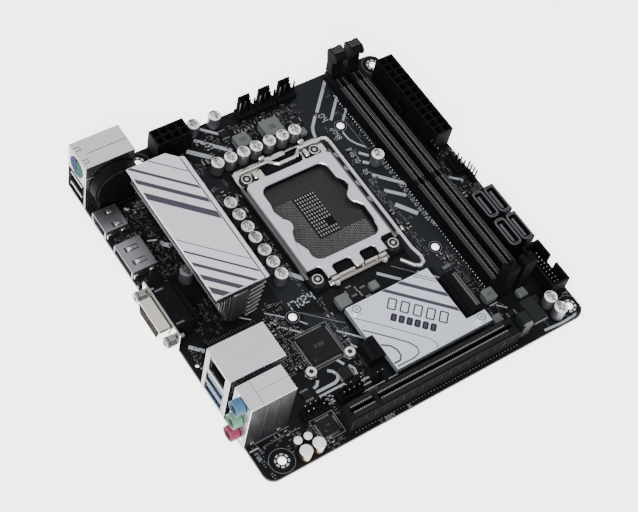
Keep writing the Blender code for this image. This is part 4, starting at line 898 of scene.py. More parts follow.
def capacitors():
    shape = Shape()
    for i, (x, y) in enumerate(CAN_SPOTS):
        can(shape, x, y, CAN_R, CAN_TOP, i)
    piece("can_capacitors", shape, stands_for=["capacitor_1", "capacitor_3"])
    dark = Shape()
    x0, x1, y0, y1, _, top = span("capacitor_2")
    can(dark, (x0 + x1) / 2, (y0 + y1) / 2, (x1 - x0) / 2, top, 99, "dark_top")
    piece("dark_capacitor", dark, stands_for=["capacitor_2"])
    sound = Shape()
    for i, (x, y, radius, top) in enumerate(SOUND_CANS):
        can(sound, x, y, radius, top, 50 + i, "white_top", "bronze")
    piece("sound_capacitors", sound)


# Small coils: middle x and y, half width and height
SMALL_COILS = ((25.0, 58.9, 1.9, 2.6), (-10.6, -28.2, 3.1, 3.2), (6.4, -27.7, 2.1, 2.4),
               (64.0, -62.8, 2.2, 2.4), (45.8, -68.4, 2.1, 2.4))


def end_pads(shape, x0, x1, y0, y1, out, into, tall):
    """The two tinned pads that a body stands on, past its ends and under them."""
    for a, b in ((x0 - out, x0 + into), (x1 - into, x1 + out)):
        shape.box(a, b, y0, y1, PAD_LOW, tall, "tin")


def coils():
    shape = Shape()
    for x, y, half, tall in SMALL_COILS:
        shape.block(x, y, half, half, 0.05, tall, "ferrite", 0.3)
        end_pads(shape, x - half, x + half, y - half * 0.6, y + half * 0.6, 0.15, 0.6, 0.5)
    for node, text in (("choke_1", "36"), ("choke_2", "100"), ("choke_3", "22")):
        dress(node, "ferrite", 0.3)
        x0, x1, y0, y1, _, z1 = span(node)
        shape.digits(text, (x0 + x1) / 2, (y0 + y1) / 2, z1, (x1 - x0) * 0.22, "grey", thick=0.015)
        end_pads(shape, x0, x1, y0 + 1.2, y1 - 1.2, 0.2, 0.5, 0.6)
    piece("small_coils", shape)


# ---------------------------------------------------------------- slots

MEMORY_END_Y = 72.6


def memory_slots():
    """Contacts, rails, side ribs and the key of each memory slot, and its latch."""
    for i in (1, 2):
        node = f"dimm_slot_{i}"
        dress(node, "black", 0.18)
        x, y0 = crown(node)[0], span(node)[2]
        shape = Shape()
        for k in range(144):
            y = y0 + 7.5 + k * 0.85
            if 68 <= k <= 71 or y > MEMORY_END_Y:
                continue
            for side in (-1, 1):
                shape.block(x + side * 1.0, y, 0.22, 0.16, 7.42, 7.53, "tick")
                shape.block(x + side * 2.6, y, 0.5, 0.14, 7.42, 7.55, "edge")
        for side in (-1, 1):
            shape.box(x + side * 1.45, x + side * 1.7, y0 + 6.5, 74.5, 7.45, 7.58, "edge", 0.05)
            shape.row(12, 10.6, x + side * 3.28, x + side * 3.42, y0 + 10, y0 + 15.6, 0.6, 5.2, "black", 0.04)
        shape.box(x - 0.72, x + 0.72, 12.6, 14.4, 3.0, 7.4, "black")
        piece(f"memory_contacts_{i}", shape)
        memory_latch(i)


# Side outline of a memory latch's hooked head, as (y, z) from the pivot's y and the board
LATCH_HEAD = ((-2.7, 7.7), (2.7, 7.7), (2.9, 13.0), (3.7, 16.5), (4.3, 18.5), (4.5, 20.9), (3.4, 22.1),
              (-1.4, 22.1), (-3.3, 20.8), (-3.7, 18.6), (-2.3, 17.4), (-1.0, 15.6), (-1.4, 12.0))
LATCH_PIVOT_Y = 79.2


def memory_latch(i):
    """The swinging latch: a hooked head with a waist, two cheeks and grip ridges, on its round foot."""
    node = f"dimm_latch_{i}"
    x0, x1, _, y1, _, top = span(node)
    shape = Shape()
    for a, b, shrink in ((x0, x0 + 1.5, 1.0), (x0 + 1.5, x1 - 1.5, 0.86), (x1 - 1.5, x1, 1.0)):
        shape.prism([(LATCH_PIVOT_Y + y * shrink, z) for y, z in LATCH_HEAD], a, b, "black", axis="X")
    foot = [(LATCH_PIVOT_Y + a, z) for a, z in arc(0, 3.6, 3.0, 150, 390, 14)]
    stem = foot + [(LATCH_PIVOT_Y + 2.5, 8.5), (LATCH_PIVOT_Y - 2.5, 8.5)]
    shape.prism(stem, x0 + 1.2, x1 - 1.2, "black", axis="X")
    shape.row(4, -1.1, x0 + 0.5, x1 - 0.5, y1 - 1.42, y1 - 0.98, top - 0.1, top + 0.35, "edge", 0.1)
    piece(f"latch_{i}", shape, node, [node], soft=0.25)


GRAPHICS_SLOT = (-43.9, 45.2, -82.4, -74.0)
GRAPHICS_TOP = 11.2
GRAPHICS_KEY = (-30.0, -27.2)


def graphics_slot():
    """Two rows of contacts with a gap at the key, ribs and solder dots along both sides."""
    dress("pcie_slot", "slot", 0.2)
    dress("pcie_latch", "smoke", 0.35)
    (x0, x1, y0, y1), top = GRAPHICS_SLOT, GRAPHICS_TOP
    middle = (y0 + y1) / 2 + 0.7
    shape = Shape()
    for k in range(82):
        x = x0 + 3.0 + k * 1.0
        if GRAPHICS_KEY[0] < x < GRAPHICS_KEY[1] or x > x1 - 2:
            continue
        for side in (-1, 1):
            shape.block(x, middle + side * 1.35, 0.24, 0.34, top - 0.05, top + 0.05, "tick")
            shape.block(x, middle + side * 2.9, 0.2, 0.7, top - 0.05, top + 0.06, "print")
            shape.block(x, middle + side * 0.86, 0.2, 0.1, 7.5, top - 0.6, "dark_contact_and_shade")
    for k in range(18):
        x = x0 + 2.6 + k * 4.9
        for y, way in ((y0, -1), (y1, 1)):
            # Ribs in the darker copy of the nylon: painted shade on the slot's sides
            shape.box(x, x + 3.6, y + way * 0.15, y - way * 0.2, 0.3, top - 1.2, "slot_side_shade")
            shape.box(x + 4.0, x + 4.6, y + way * 0.15, y - way * 0.2, 6.4, top - 1.0, "black")
            for third in range(3):
                dot(shape, x + 0.8 + third * 1.63, y + way * 0.55, radius=0.24, tall=0.08)
    # Side sheets in the darker copy of the nylon: painted shade
    for a, b in ((y0 - 0.06, y0 + 0.1), (y1 - 0.1, y1 + 0.06)):
        shape.box(x0 + 0.5, x1 - 0.5, a, b, 0.3, top - 0.8, "slot_side_shade")
    shape.box(x0 + 0.4, x1 - 0.4, y0 + 0.35, y0 + 0.75, top - 0.02, top + 0.1, "slot", 0.05)
    piece("graphics_contacts", shape)


M2_PITCH = 0.55


def drive_slots():
    """Contacts and legs of the drive and wireless slots, and the two slotted standoffs."""
    dress("m2_slot", "black", 0.15)
    dress("wifi_slot", "black", 0.15)
    shape = Shape()
    x0, x1, y0, y1, _, top = span("m2_slot")
    first = y0 + 1.9
    count = min(34, int((y1 - 1.8 - first) / M2_PITCH) + 1)
    for a, b, half, low, high, finish in (
            (x1 - 0.5, x1 + 1.2, 0.12, PAD_LOW, 0.35, "tin"), (x0 + 1.0, x0 + 4.4, 0.13, 5.75, 6.08, "gold"),
            (x1 - 2.6, x1 - 1.5, 0.1, top - 0.02, top + 0.06, "tick"),
            (x1 - 1.1, x1 - 0.4, 0.1, top - 0.02, top + 0.06, "tick")):
        shape.row(count, M2_PITCH, a, b, first - half, first + half, low, high, finish)
    for y in (y0 + 0.7, y1 - 0.7):
        shape.box(x0 + 0.3, x0 + 1.8, y - 0.6, y + 0.6, PAD_LOW, 0.4, "tin")
    shape.box(x1 + 1.3, x1 + 4.8, y0, y1, 0.02, 0.3, "slate", 0.1)
    piece("drive_contacts", shape)
    shape = Shape()
    x0, _, y0, y1, _, top = span("wifi_slot")
    shape.row(15, 0.56, x0 - 0.9, x0 + 0.2, y0 + 1.08, y0 + 1.32, PAD_LOW, 0.35, "tin")
    shape.row(15, 0.56, x0 + 3.35, x0 + 3.6, y0 + 1.08, y0 + 1.32, 3.0, top - 0.2, "dark_contact_and_shade")
    shape.box(x0 + 0.8, x0 + 2.2, y0 + 1.4, y1 - 1.4, top, top + 0.05, "slot", 0.05)
    piece("wireless_contacts", shape)
    rings = Shape()
    for node in ("m2_standoff_1", "m2_standoff_2"):
        dress(node, "dark_fin", 0.3)
        x, y, top = crown(node)
        rings.turned((x, y, top), [(2.45, -0.6), (2.5, -0.1), (2.35, 0.1), (1.2, 0.12)], "wire", 28)
        rings.turned((x, y, top), [(1.1, 0.05), (1.1, 0.14)], "print", 20)
        rings.turned((x, y, 0.03), [(2.9, 0.0), (2.85, 0.7), (2.5, 0.8)], "end", 6)
    piece("standoff_rings", rings)


# ---------------------------------------------------------------- power connectors and headers

POWER_PITCH = 4.2
# Power connectors: node, middle of the pins, columns and rows
POWER_PINS = (("atx_power", 79.6, 47.1, 2, 12), ("eps_power", -35.4, 79.8, 4, 2))
PIN_PITCH = 2.54


def power_connectors():
    shape = Shape()
    for node, cx, cy, columns, rows in POWER_PINS:
        dress(node, "black", 0.18)
        top = span(node)[5]
        for x, y in grid(cx, cy, columns, rows, POWER_PITCH, POWER_PITCH):
            shape.block(x, y, 0.5, 0.5, 2.9, 9.6, "gold", 0.15)
            for side in (-1, 1):
                shape.box(x + side * 1.68, x + side * 1.45, y - 0.6, y + 0.6, 3.2, top - 1.0, "black", 0.05)
    shape.box(70.6, 71.1, 43.2, 51.0, 3.6, 9.6, "black", 0.1)
    for k in range(4):
        x = -43.6 + k * 4.3
        shape.box(x, x + 0.7, 74.85, 75.25, 1.0, 11.6, "black", 0.1)
    piece("power_pins", shape)


def pin(shape, x, y, z0, z1, finish="dark_contact_and_shade", tip="tin"):
    """A square header pin with a bright chamfered tip."""
    neck = z1 - 0.5
    for part, ends in ((finish, ((0.32, z0), (0.32, neck))), (tip, ((0.32, neck), (0.16, z1)))):
        shape.loft([[(x - h, y - h, z), (x + h, y - h, z), (x + h, y + h, z), (x - h, y + h, z)]
                    for h, z in ends], part)


FAN_HEADERS = ("fan_header_1", "fan_header_2", "fan_header_3")
# Double-row headers: node, columns, the axis they run along, and the place without a pin
DOUBLE_ROWS = (("panel_header", 4, "y", 7), ("usb2_header", 5, "x", 4), ("audio_header", 5, "x", 7))


def pin_cell(shape, x, y, half, top, tip, edge=0.2):
    """One pin in its own block of a header's base."""
    shape.block(x, y, half, half, 0.1, top, "black", edge)
    if tip:
        pin(shape, x, y, top - 0.1, tip)


def headers():
    shape = Shape()
    for node in FAN_HEADERS:
        x0, x1, y0, y1, _, top = span(node)
        x, y = (x0 + x1) / 2, (y0 + y1) / 2
        shape.box(x0, x1, y0, y1, 0.1, 3.4, "black", 0.2)
        shape.box(x - 3.9, x + 2.5, y1 - 1.1, y1 - 0.1, 3.2, top, "black", 0.25)
        for a in (x - 3.9, x + 1.5):
            shape.box(a, a + 1.0, y1 - 1.7, y1 - 0.8, 3.2, top - 1.2, "black", 0.2)
        for px, py in grid(x, y - 0.6, 4, 1, PIN_PITCH, 0):
            pin(shape, px, py, 3.2, top - 0.8, "dark_contact_and_shade", "dark_contact_and_shade")
    piece("fan_headers", shape, stands_for=FAN_HEADERS)
    for node, columns, along, skip in DOUBLE_ROWS:
        cx, cy, top = crown(node)
        shape = Shape()
        for k, (a, b) in enumerate(grid(0, 0, columns, 2, PIN_PITCH, PIN_PITCH)):
            x, y = (cx + a, cy + b) if along == "x" else (cx + b, cy + a)
            pin_cell(shape, x, y, 1.25, 2.5, top if k != skip else None, 0.3)
        piece(node + "_pins", shape, stands_for=[node])
    shape = Shape()
    for x, y in grid(83.0, -1.4, 1, 4, 0, 1.9, False):
        pin_cell(shape, x, y, 0.95, 2.3, 8.6)
    for x, y in grid(73.7, 17.8, 1, 3, 0, PIN_PITCH, False):
        shape.box(x - 0.9, x + 0.9, y - 1.2, y + 1.2, 0.1, 2.4, "black", 0.2)
        pin(shape, x, y, 2.3, 8.2)
    for x, y in grid(-20.2, -66.8, 2, 1, PIN_PITCH, 0, False):
        pin_cell(shape, x, y, 1.2, 2.4, 8.2)
    piece("small_pin_rows", shape)


def rounded_ring(x, y, half_x, half_y, radius):
    """A closed path round a centre, with quarter-round corners and its first point repeated."""
    path = []
    for sx, sy, start in ((1, -1, -90), (1, 1, 0), (-1, 1, 90), (-1, -1, 180)):
        path += arc(x + sx * (half_x - radius), y + sy * (half_y - radius), radius, start, start + 90, 4)
    return path + path[:1]


# The internal USB header's first pin and its pitch
USB3_PINS = (78.1, -67.3, 2.0)


def drive_ports():
    """The keyed mouths of the four drive ports, and the pins of the internal USB header."""
    shape = Shape()
    for i in range(4):
        node = f"sata_port_{i + 1}"
        dress(node, "black", 0.12)
        x0, x1, y0, y1, _, top = span(node)
        x, y = (x0 + x1) / 2, (y0 + y1) / 2
        # Grey strokes round each port's rim and mouth, and the grey strip on its tongue, are painted edge
        # highlights
        for half_x, half_y, radius in (((x1 - x0) / 2 - 0.3, (y1 - y0) / 2 - 0.3, 2.3), (2.3, 6.7, 1.1)):
            shape.stroke(rounded_ring(x, y, half_x, half_y, radius), 0.42, "edge", top - 0.01, 0.06)
        shape.block(x, y, 0.6, 5.2, top - 1.25, top - 1.1, "edge")
        shape.row(7, 1.27, x + 0.6, x + 0.72, y - 4.5, y - 3.9, 2.6, top - 1.8,
                  "tin" if i % 2 else "dark_contact_and_shade")
    piece("drive_port_contacts", shape)
    dress("usb3_header", "black", 0.15)
    shape = Shape()
    x0, y0, pitch = USB3_PINS
    for k in range(19):
        pin(shape, x0 + (k % 2) * pitch, y0 + (k // 2) * pitch, 1.6, 6.6)
    shape.box(74.5, 75.0, -69.8, -46.8, 8.98, 9.1, "slot", 0.05)
    piece("usb3_pins", shape)


# ---------------------------------------------------------------- rear connectors

USB_FRONT, USB_BACK = -85.0, -75.0
USB_TALL = 5.6


def usb_tongues(shape, y0, y1, levels, colour):
    """Tongue, contacts and dark walls of stacked USB sockets whose mouths face the rear. The black walls line
    each mouth inside the shell as painted shade.
    """
    for z in levels:
        shape.box(USB_FRONT - 0.45, USB_BACK, y0 + 0.9, y1 - 0.9, z + 2.6, z + 4.5, colour, 0.15)
        shape.row(4, (y1 - y0 - 5.2) / 3, -84.2, -76.0, y0 + 2.1, y0 + 3.1, z + 2.53, z + 2.65, "gold")
        # Black walls inside the shell: painted shade
        for a, b in ((z + 0.02, z + 0.15), (z + 5.45, z + 5.58)):
            shape.box(USB_FRONT, USB_BACK, y0 + 0.02, y1 - 0.02, a, b, "black")
        for y in (y0 + 0.02, y1 - 0.15):
            shape.box(USB_FRONT, USB_BACK, y, y + 0.13, z + 0.1, z + 5.5, "black")
        shape.box(USB_BACK - 0.2, USB_BACK + 0.2, y0 + 0.1, y1 - 0.1, z + 0.1, z + 5.5, "black")


def usb_mouths(y0, y1, levels):
    """The mouths of stacked USB sockets as (y0, y1, z0, z1)."""
    return [(y0, y1, z, z + USB_TALL) for z in levels]


def usb_rims(shape, mouths, front, finish):
    for y0, y1, z0, z1 in mouths:
        rim(shape, [(y0, z0), (y1, z0), (y1, z1), (y0, z1)], front - 0.25, front + 0.3, finish, 0.3)


def rim(shape, outline, x0, x1, finish, wide=0.45):
    """A raised edge round a mouth that faces the rear, from outline points (y, z)."""
    count = len(outline)
    cy, cz = (sum(p[i] for p in outline) / count for i in (0, 1))
    outer = [(y + math.copysign(wide, y - cy), z + math.copysign(wide, z - cz)) for y, z in outline]
    for k in range(count):
        j = (k + 1) % count
        corners = (outline[k], outline[j], outer[j], outer[k])
        shape.loft([[(x, *corner) for corner in corners] for x in (x0, x1)], finish)


def front_sheet(shape, x, y0, y1, top, openings):
    """A thin sheet over a stack's rear face, up to top, with openings given as (y0, y1, z0, z1). It takes a
    darker copy of the shell metal, as painted shade.
    """
    low = 0.6
    for a, b, z0, z1 in openings:
        shape.boxes("front", 0.0, (x, x + 0.1, y0, y1, low, z0), (x, x + 0.1, y0, a, z0, z1),
                    (x, x + 0.1, b, y1, z0, z1))
        low = z1
    shape.box(x, x + 0.1, y0, y1, low, top, "front")


KEYBOARD_FRONT = -85.68
KEYBOARD_USB = (68.9, 81.4, (2.4, 9.6))
# The round socket's middle y and z and its radius, and its coloured sectors in degrees
KEYBOARD_SOCKET = (75.15, 22.6, 5.2)
KEYBOARD_SECTORS = (("violet", -82, 82), ("teal", 98, 262), ("black", 82, 98), ("black", 262, 278))


def keyboard_stack():
    """The round two-tone socket over two USB sockets, with slots and springs in the shell."""
    dress("ps2_usb_stack", "shell", 0.3)
    shape = Shape()
    front = KEYBOARD_FRONT
    mouths = usb_mouths(*KEYBOARD_USB)
    front_sheet(shape, front, 67.8, 82.5, 29.7, mouths)
    cy, cz, radius = KEYBOARD_SOCKET
    for finish, start, end in KEYBOARD_SECTORS:
        shape.prism(sector(cy, cz, radius, 1.0, start, end, 12), front - 0.25, front + 0.6, finish, axis="X")
    for k in range(6):
        angle = math.radians(30 + k * 60)
        y, z = cy + 3.2 * math.cos(angle), cz + 3.2 * math.sin(angle)
        shape.turned((front - 0.28, y, z), [(0.55, 0.0), (0.55, 0.1)], "black", 10, axis="X")
    shape.box(front - 0.3, front, cy - 0.8, cy + 0.8, cz - 0.7, cz + 0.7, "black", 0.05)
    usb_tongues(shape, *KEYBOARD_USB, "black")
    usb_rims(shape, mouths, front, "black")
    for z in KEYBOARD_USB[2]:
        shape.box(front - 0.1, front + 0.3, 70.2, 80.1, z + 3.6, z + 4.1, "white_top")
    shape.box(-81.0, -61.9, 74.6, 74.85, 29.98, 30.06, "print")
    for x, y in ((-83.4, 71.2), (-83.4, 78.6)):
        notch = [(x - 1.4, y - 0.9), (x + 1.0, y - 0.9), (x + 1.0, y + 0.9), (x - 1.4, y + 0.9)]
        shape.stroke(notch, 0.35, "print", 29.99, 0.06)
    for x in (-79.0, -67.0):
        shape.box(x - 1.4, x + 1.4, 67.35, 67.62, 8.0, 20.0, "dull_shell", 0.05)
    shape.box(-85.2, -62.0, 67.5, 67.62, 21.5, 22.0, "dull_shell", 0.04)
    piece("keyboard_stack_details", shape)


NETWORK_FRONT = -85.62
NETWORK_USB = (-47.5, -34.9, (2.4, 9.8))
NETWORK_MOUTH = (-47.1, -35.3, 18.2, 28.0)


def network_stack():
    """The network socket over two USB sockets, and the comb of a board connector beside it."""
    dress("lan_usb_stack", "shell", 0.3)
    shape = Shape()
    front = NETWORK_FRONT
    y0, y1, _, _ = NETWORK_MOUTH
    mouths = usb_mouths(*NETWORK_USB)
    front_sheet(shape, front - 0.08, -50.0, -32.4, 29.7, mouths + [NETWORK_MOUTH])
    shape.boxes("black", 0.0, (-84.8, -73.4, y0 + 0.02, y1 - 0.02, 27.0, 27.95),
                (-84.8, -73.4, y0 + 0.02, y1 - 0.02, 18.25, 19.2),
                (-84.8, -73.4, y0 + 0.05, y0 + 1.0, 18.3, 27.9),
                (-84.8, -73.4, y1 - 1.0, y1 - 0.05, 18.3, 27.9), (-74.0, -73.0, y0, y1, 18.3, 27.9))
    shape.row(8, 1.02, -83.6, -75.0, y0 + 2.18, y0 + 2.62, 26.3, 26.6, "gold")
    shape.row(6, 1.7, front + 0.9, front + 1.4, y0 + 1.1, y0 + 1.8, 26.6, 27.4, "edge")
    for y, finish in ((y0 + 0.9, "bronze"), (y1 - 0.9, "teal")):
        shape.box(front - 0.15, front + 0.3, y - 0.7, y + 0.7, 28.3, 29.3, finish, 0.1)
    usb_tongues(shape, *NETWORK_USB, "usb_blue")
    usb_rims(shape, mouths, front, "front")
    for x in (-80.0, -66.0):
        shape.box(x - 1.6, x + 1.6, -32.22, -31.95, 6.0, 14.0, "dull_shell", 0.05)
    shape.box(-84.6, -60.2, -32.22, -32.05, 17.2, 17.6, "dull_shell", 0.04)
    shape.box(-60.0, -58.6, -49.0, -33.4, 0.2, 5.4, "black", 0.3)
    piece("network_stack_details", shape)
    comb = Shape()
    comb.box(-74.6, -50.6, -21.2, -17.2, 0.1, 2.4, "black", 0.2)
    for x, y in grid(-73.8, -20.9, 18, 2, 1.35, 1.9, False):
        comb.box(x - 0.3, x + 0.3, y, y + 1.4, 2.35, 2.6, "grey")
    piece("board_comb", comb)


def jack_face(colour):
    """The bore and rings of one sound jack, as a piece, and the jack's box as a mouth. The black bore lining,
    the black inner ring and the darker copy of the jack's colour on the outer ring are painted shade.
    """
    node = f"audio_jack_{colour}"
    dress(node, colour, 0.35)
    x0, _, y0, y1, z0, z1 = span(node)
    y, z = (y0 + y1) / 2, (z0 + z1) / 2
    bore = Shape()
    # Black lining of the bore and black inner ring: painted shade
    bore.turned((x0, y, z), [(1.7, 0.5), (1.7, 11.8)], "cell", 20, axis="X")
    for outer, inner, finish in ((3.1, 2.05, colour + "_face"), (2.03, 1.7, "cell")):
        bore.prism(sector(y, z, outer, inner, 0, 360, 32), x0 - 0.07, x0 - 0.01, finish, axis="X")
    piece(f"jack_bore_{colour}", bore)
    return y0 - 0.3, y1 + 0.3, z0 - 0.3, z1 + 0.3


def sound_stack():
    dress("audio_stack", "shell", 0.3)
    shape = Shape()
    x0, x1, y0, y1, _, top = span("audio_stack")
    shape.boxes("dull_shell", 0.0, (-80.15, -79.85, y0 + 0.3, y1 - 0.3, top - 0.02, top + 0.06),
                (-79.8, x1 - 0.4, -60.0, -59.75, top - 0.02, top + 0.06))
    # A dark sheet and two half-round ridges on the side face towards -y: painted shade of that side
    shape.box(x0 + 0.3, x1 - 0.3, y0 - 0.12, y0 + 0.05, 0.4, top - 0.5, "side", 0.08)
    for x in (-78.0, -72.4):
        shape.turned((x, y0 + 1.05, 0), [(1.3, 2.0), (1.3, top - 2.0)], "side", 48)
    shape.box(x1 - 0.1, x1 + 0.25, y0 + 1.0, y1 - 1.0, 0.3, top - 3.0, "black", 0.15)
    for x in (-82.0, -69.0):
        shape.box(x - 0.8, x + 0.8, y0 - 0.5, y0 + 0.1, 0.05, 2.6, "tin", 0.1)
    mouths = sorted((jack_face(colour) for colour in JACK_COLOURS), key=lambda mouth: mouth[2])
    front_sheet(shape, x0 - 0.12, y0 + 0.3, y1 - 0.3, top - 0.4, mouths)
    piece("sound_stack_details", shape)


TONGUE_DEPTH = 8.2


def flat_port(node, tongue, springs):
    """A flat video port: its tongue, contacts, shell springs (x, y, reach), side tabs and solder legs."""
    dress(node, "dull_shell", 0.25)
    x0, x1, y0, y1, _, top = span(node)
    shape = Shape()
    first = (y0 + y1) / 2 - tongue / 2
    shape.box(x0 + 1.2, x0 + TONGUE_DEPTH, first, first + tongue, 2.9, 3.7, "black", 0.12)
    count = int(tongue / 0.9)
    shape.row(count, (tongue - 1.0) / (count - 1), x0 + 1.8, x0 + TONGUE_DEPTH - 0.5, first + 0.34,
              first + 0.66, 3.68, 3.78, "gold")
    for x, y, reach in springs:
        cut = [(x, y - 1.1), (x + reach, y - 1.1), (x + reach, y + 1.1), (x, y + 1.1)]
        shape.stroke(cut, 0.5, "print", top, 0.04)
        shape.block(x, y, 0.9, 0.8, top - 0.1, top + 0.25, "wire", 0.15)
        shape.box(x - 2.2, x - 1.4, y - 1.3, y + 1.3, top, top + 0.04, "print")
    for y in (y0 - 0.35, y1 - 0.25):
        shape.boxes("shell", 0.15, (x0 + 1.0, x0 + 3.0, y, y + 0.6, -1.0, 3.2),
                    (x1 - 3.6, x1 - 1.8, y, y + 0.6, -1.0, 3.2))
    shape.box(x1 - 0.6, x1 + 0.5, y0 + 0.8, y1 - 0.8, 0.2, top - 1.2, "black", 0.2)
    shape.row(int((y1 - y0) / 1.1) - 1, 1.1, x1 + 0.3, x1 + 1.6, y0 + 1.2, y0 + 1.5, PAD_LOW, 0.4, "tin")
    piece(node + "_details", shape)


VGA_MOUTH = ((-5.8, 3.2), (7.8, 3.2), (9.4, 9.2), (8.8, 10.0), (-6.8, 10.0), (-7.4, 9.2))
VGA_FACE = -86.0
VGA_PITCH = 2.29


def analogue_port():
    """D-shaped port: black body, plated flange with a hollow mouth, and three rows of holes."""
    shape = Shape()
    front, _, y0, y1, z0, z1 = span("vga_port")
    face = VGA_FACE
    shape.box(-85.3, -76.0, -9.6, 11.6, z0, 11.4, "black", 0.3)
    shape.box(face, -85.2, y0, y1, z0, z1, "nickel", 0.25)
    rim(shape, VGA_MOUTH, front, face, "nickel", 0.55)
    shape.prism(VGA_MOUTH, -88.4, -85.9, "print", axis="X")
    rim(shape, VGA_MOUTH, face - 0.45, face - 0.02, "dark_contact_and_shade", 0.62)
    for row in (-1, 0, 1):
        for k in range(5):
            centre = (-88.4, 1.0 + (k - 2) * VGA_PITCH + row * 0.76, 6.6 + row * 1.98)
            shape.turned(centre, [(0.42, -0.12), (0.42, 0.02)], "dark_contact_and_shade", 10, axis="X")
    shape.box(-76.4, -72.4, -8.4, 10.4, 0.2, 9.2, "black", 0.4)
    for y in (-8.0, 10.0):
        shape.box(-84.0, -80.0, y - 0.4, y + 0.4, 11.3, 11.9, "edge", 0.15)
    shape.row(8, VGA_PITCH, -72.6, -71.2, -7.0, -6.5, 0.05, 1.4, "tin", 0.1)
    piece("vga_connector", shape, stands_for=["vga_port"])
    for i in (1, 2):
        node = f"jackscrew_{i}"
        dress(node, "dull_shell", 0.25)
        x0, _, y0, y1, z0, z1 = span(node)
        bore = Shape()
        centre, radius = (x0, (y0 + y1) / 2, (z0 + z1) / 2), (y1 - y0) / 2 + 0.03
        # Black lining of the threaded hole and the dark ring at the neck: painted shade
        bore.turned(centre, [(1.15, 0.3), (1.15, 3.4)], "print", 14, axis="X")
        bore.turned(centre, [(radius, 1.3), (radius, 1.6)], "dark_contact_and_shade", 24, axis="X")
        piece(f"jackscrew_bore_{i}", bore)


CELL_X, CELL_Z = -72.0, 16.0


def battery():
    dress("battery_holder", "cell", 0.3)
    dress("coin_cell", "cell", 0.3)
    shape = Shape()
    profile = [(11.3, 0.0), (11.2, -0.25), (10.6, -0.35), (8.8, -0.35), (8.4, -0.2)]
    shape.turned((CELL_X, 62.3, CELL_Z), profile, "cell", 44, axis="Y")
    # The grey arc on the rim is a painted highlight
    ring = sector(CELL_X, CELL_Z, 10.5, 10.15, 75, 190, 24)
    shape.loft([[(x, y, z) for x, z in ring] for y in (61.85, 62.0)], "grey")
    shape.box(CELL_X - 9.6, CELL_X + 9.6, 61.8, 67.4, 0.1, 2.8, "black", 0.4)
    piece("battery_rim", shape)


# ---------------------------------------------------------------- chips and small parts

def gull_legs(shape, x0, x1, y0, y1, pitch, sides="xy"):
    """Rows of bent legs round a chip's body."""
    if "x" in sides:
        for k in range(int((y1 - y0 - 1.0) / pitch) + 1):
            y = y0 + 0.5 + k * pitch
            for x, way in ((x0, -1), (x1, 1)):
                shape.box(x, x + way * 1.15, y - pitch * 0.25, y + pitch * 0.25, PAD_LOW, 0.25, "end")
    if "y" in sides:
        for k in range(int((x1 - x0 - 1.0) / pitch) + 1):
            x = x0 + 0.5 + k * pitch
            for y, way in ((y0, -1), (y1, 1)):
                shape.box(x - pitch * 0.22, x + pitch * 0.22, y, y + way * 1.15, PAD_LOW, 0.25, "end")


# Small chips: x0, x1, y0, y1, pitch of the legs, and the axes along which they stick out
SMALL_CHIPS = ((-31.6, -26.6, -60.6, -54.6, 0.9, "x"), (-51.6, -47.4, -60.2, -56.8, 0.8, "y"),
               (-5.4, -1.8, -26.6, -23.0, 0.5, "xy"), (0.2, 3.8, -29.6, -26.0, 0.5, "xy"),
               (-61.5, -57.5, 66.0, 70.0, 0.65, "xy"), (66.9, 70.4, 3.0, 7.0, 0.8, "x"),
               (-10.6, -6.2, 73.6, 76.8, 0.65, "y"), (24.8, 28.0, 65.2, 68.4, 0.65, "xy"),
               (-77.4, -74.4, -26.6, -23.0, 0.8, "x"),
               (52.6, 55.2, -70.4, -67.2, 0.65, "x"), (-45.8, -43.0, 55.4, 58.6, 0.65, "x"))


def chips():
    shape = Shape()
    for node, pitch, text in (("io_controller", 0.4, "3700"), ("audio_chip", 0.5, "240")):
        dress(node, "resin", 0.2)
        x0, x1, y0, y1, _, top = span(node)
        gull_legs(shape, x0, x1, y0, y1, pitch)
        shape.turned((x0 + 1.6, y0 + 1.6, top), [(0.5, -0.01), (0.5, 0.02)], "grey", 16)
        shape.digits(text, (x0 + x1) / 2, (y0 + y1) / 2, top, (x1 - x0) * 0.10, "edge", thick=0.012)
        frame_line = [(x0 - 1.9, y0 - 1.9), (x1 + 1.9, y0 - 1.9), (x1 + 1.9, y1 + 1.9), (x0 - 1.9, y1 + 1.9)]
        shape.outline(frame_line, 0.25, "dim_ink", INK_Z)
    for x0, x1, y0, y1, pitch, sides in SMALL_CHIPS:
        shape.box(x0, x1, y0, y1, 0.12, 1.15, "resin", 0.15)
        gull_legs(shape, x0, x1, y0, y1, pitch, sides)
        shape.turned((x0 + 0.7, y1 - 0.7, 1.15), [(0.22, -0.01), (0.22, 0.02)], "grey", 10)
    piece("small_chips", shape)


# Fields of small parts as x0, x1, y0, y1 and how many to try to place
PART_FIELDS = (
    (-74, -61.0, 19, 60, 170), (-82, -73, 42, 49, 40), (-82, -71, -32, -16, 60), (-46, -39.5, -50, -20, 60),
    (-62, -46, -31, -17, 60), (0, 30, 68, 77, 120), (-22, 0, 66, 78, 60), (-20.5, 12, -31, -20.4, 170),
    (12, 31, -31, -21, 70), (-83, -46, -84, -67, 110), (-58, -20, -74, -63, 120), (43, 53, -75, -45, 80),
    (-24, -19.6, -16, 50, 70), (-33, -26, 38, 52, 22), (-44, -31, 60, 74, 60), (-76, -62, -14, 0, 40),
    (69.5, 84, -10, 26, 100), (69, 84, -84, -72, 50), (36.5, 40.6, -28, 60, 50), (50, 54, 8, 76, 100),
    (-45, -34, -34, -14, 60), (-56, -44, -48, -32, 80), (-22.5, -19, -62, -30, 50), (-76, -60, -32, -22, 50),
    (41, 54, -46, -26, 60), (-32, -14, -84, -71, 40), (69, 72, -46, 20, 40), (60, 84, -84, -70, 40),
    (-84, -80, 0, 46, 24), (-34, -20, 60, 66, 24))


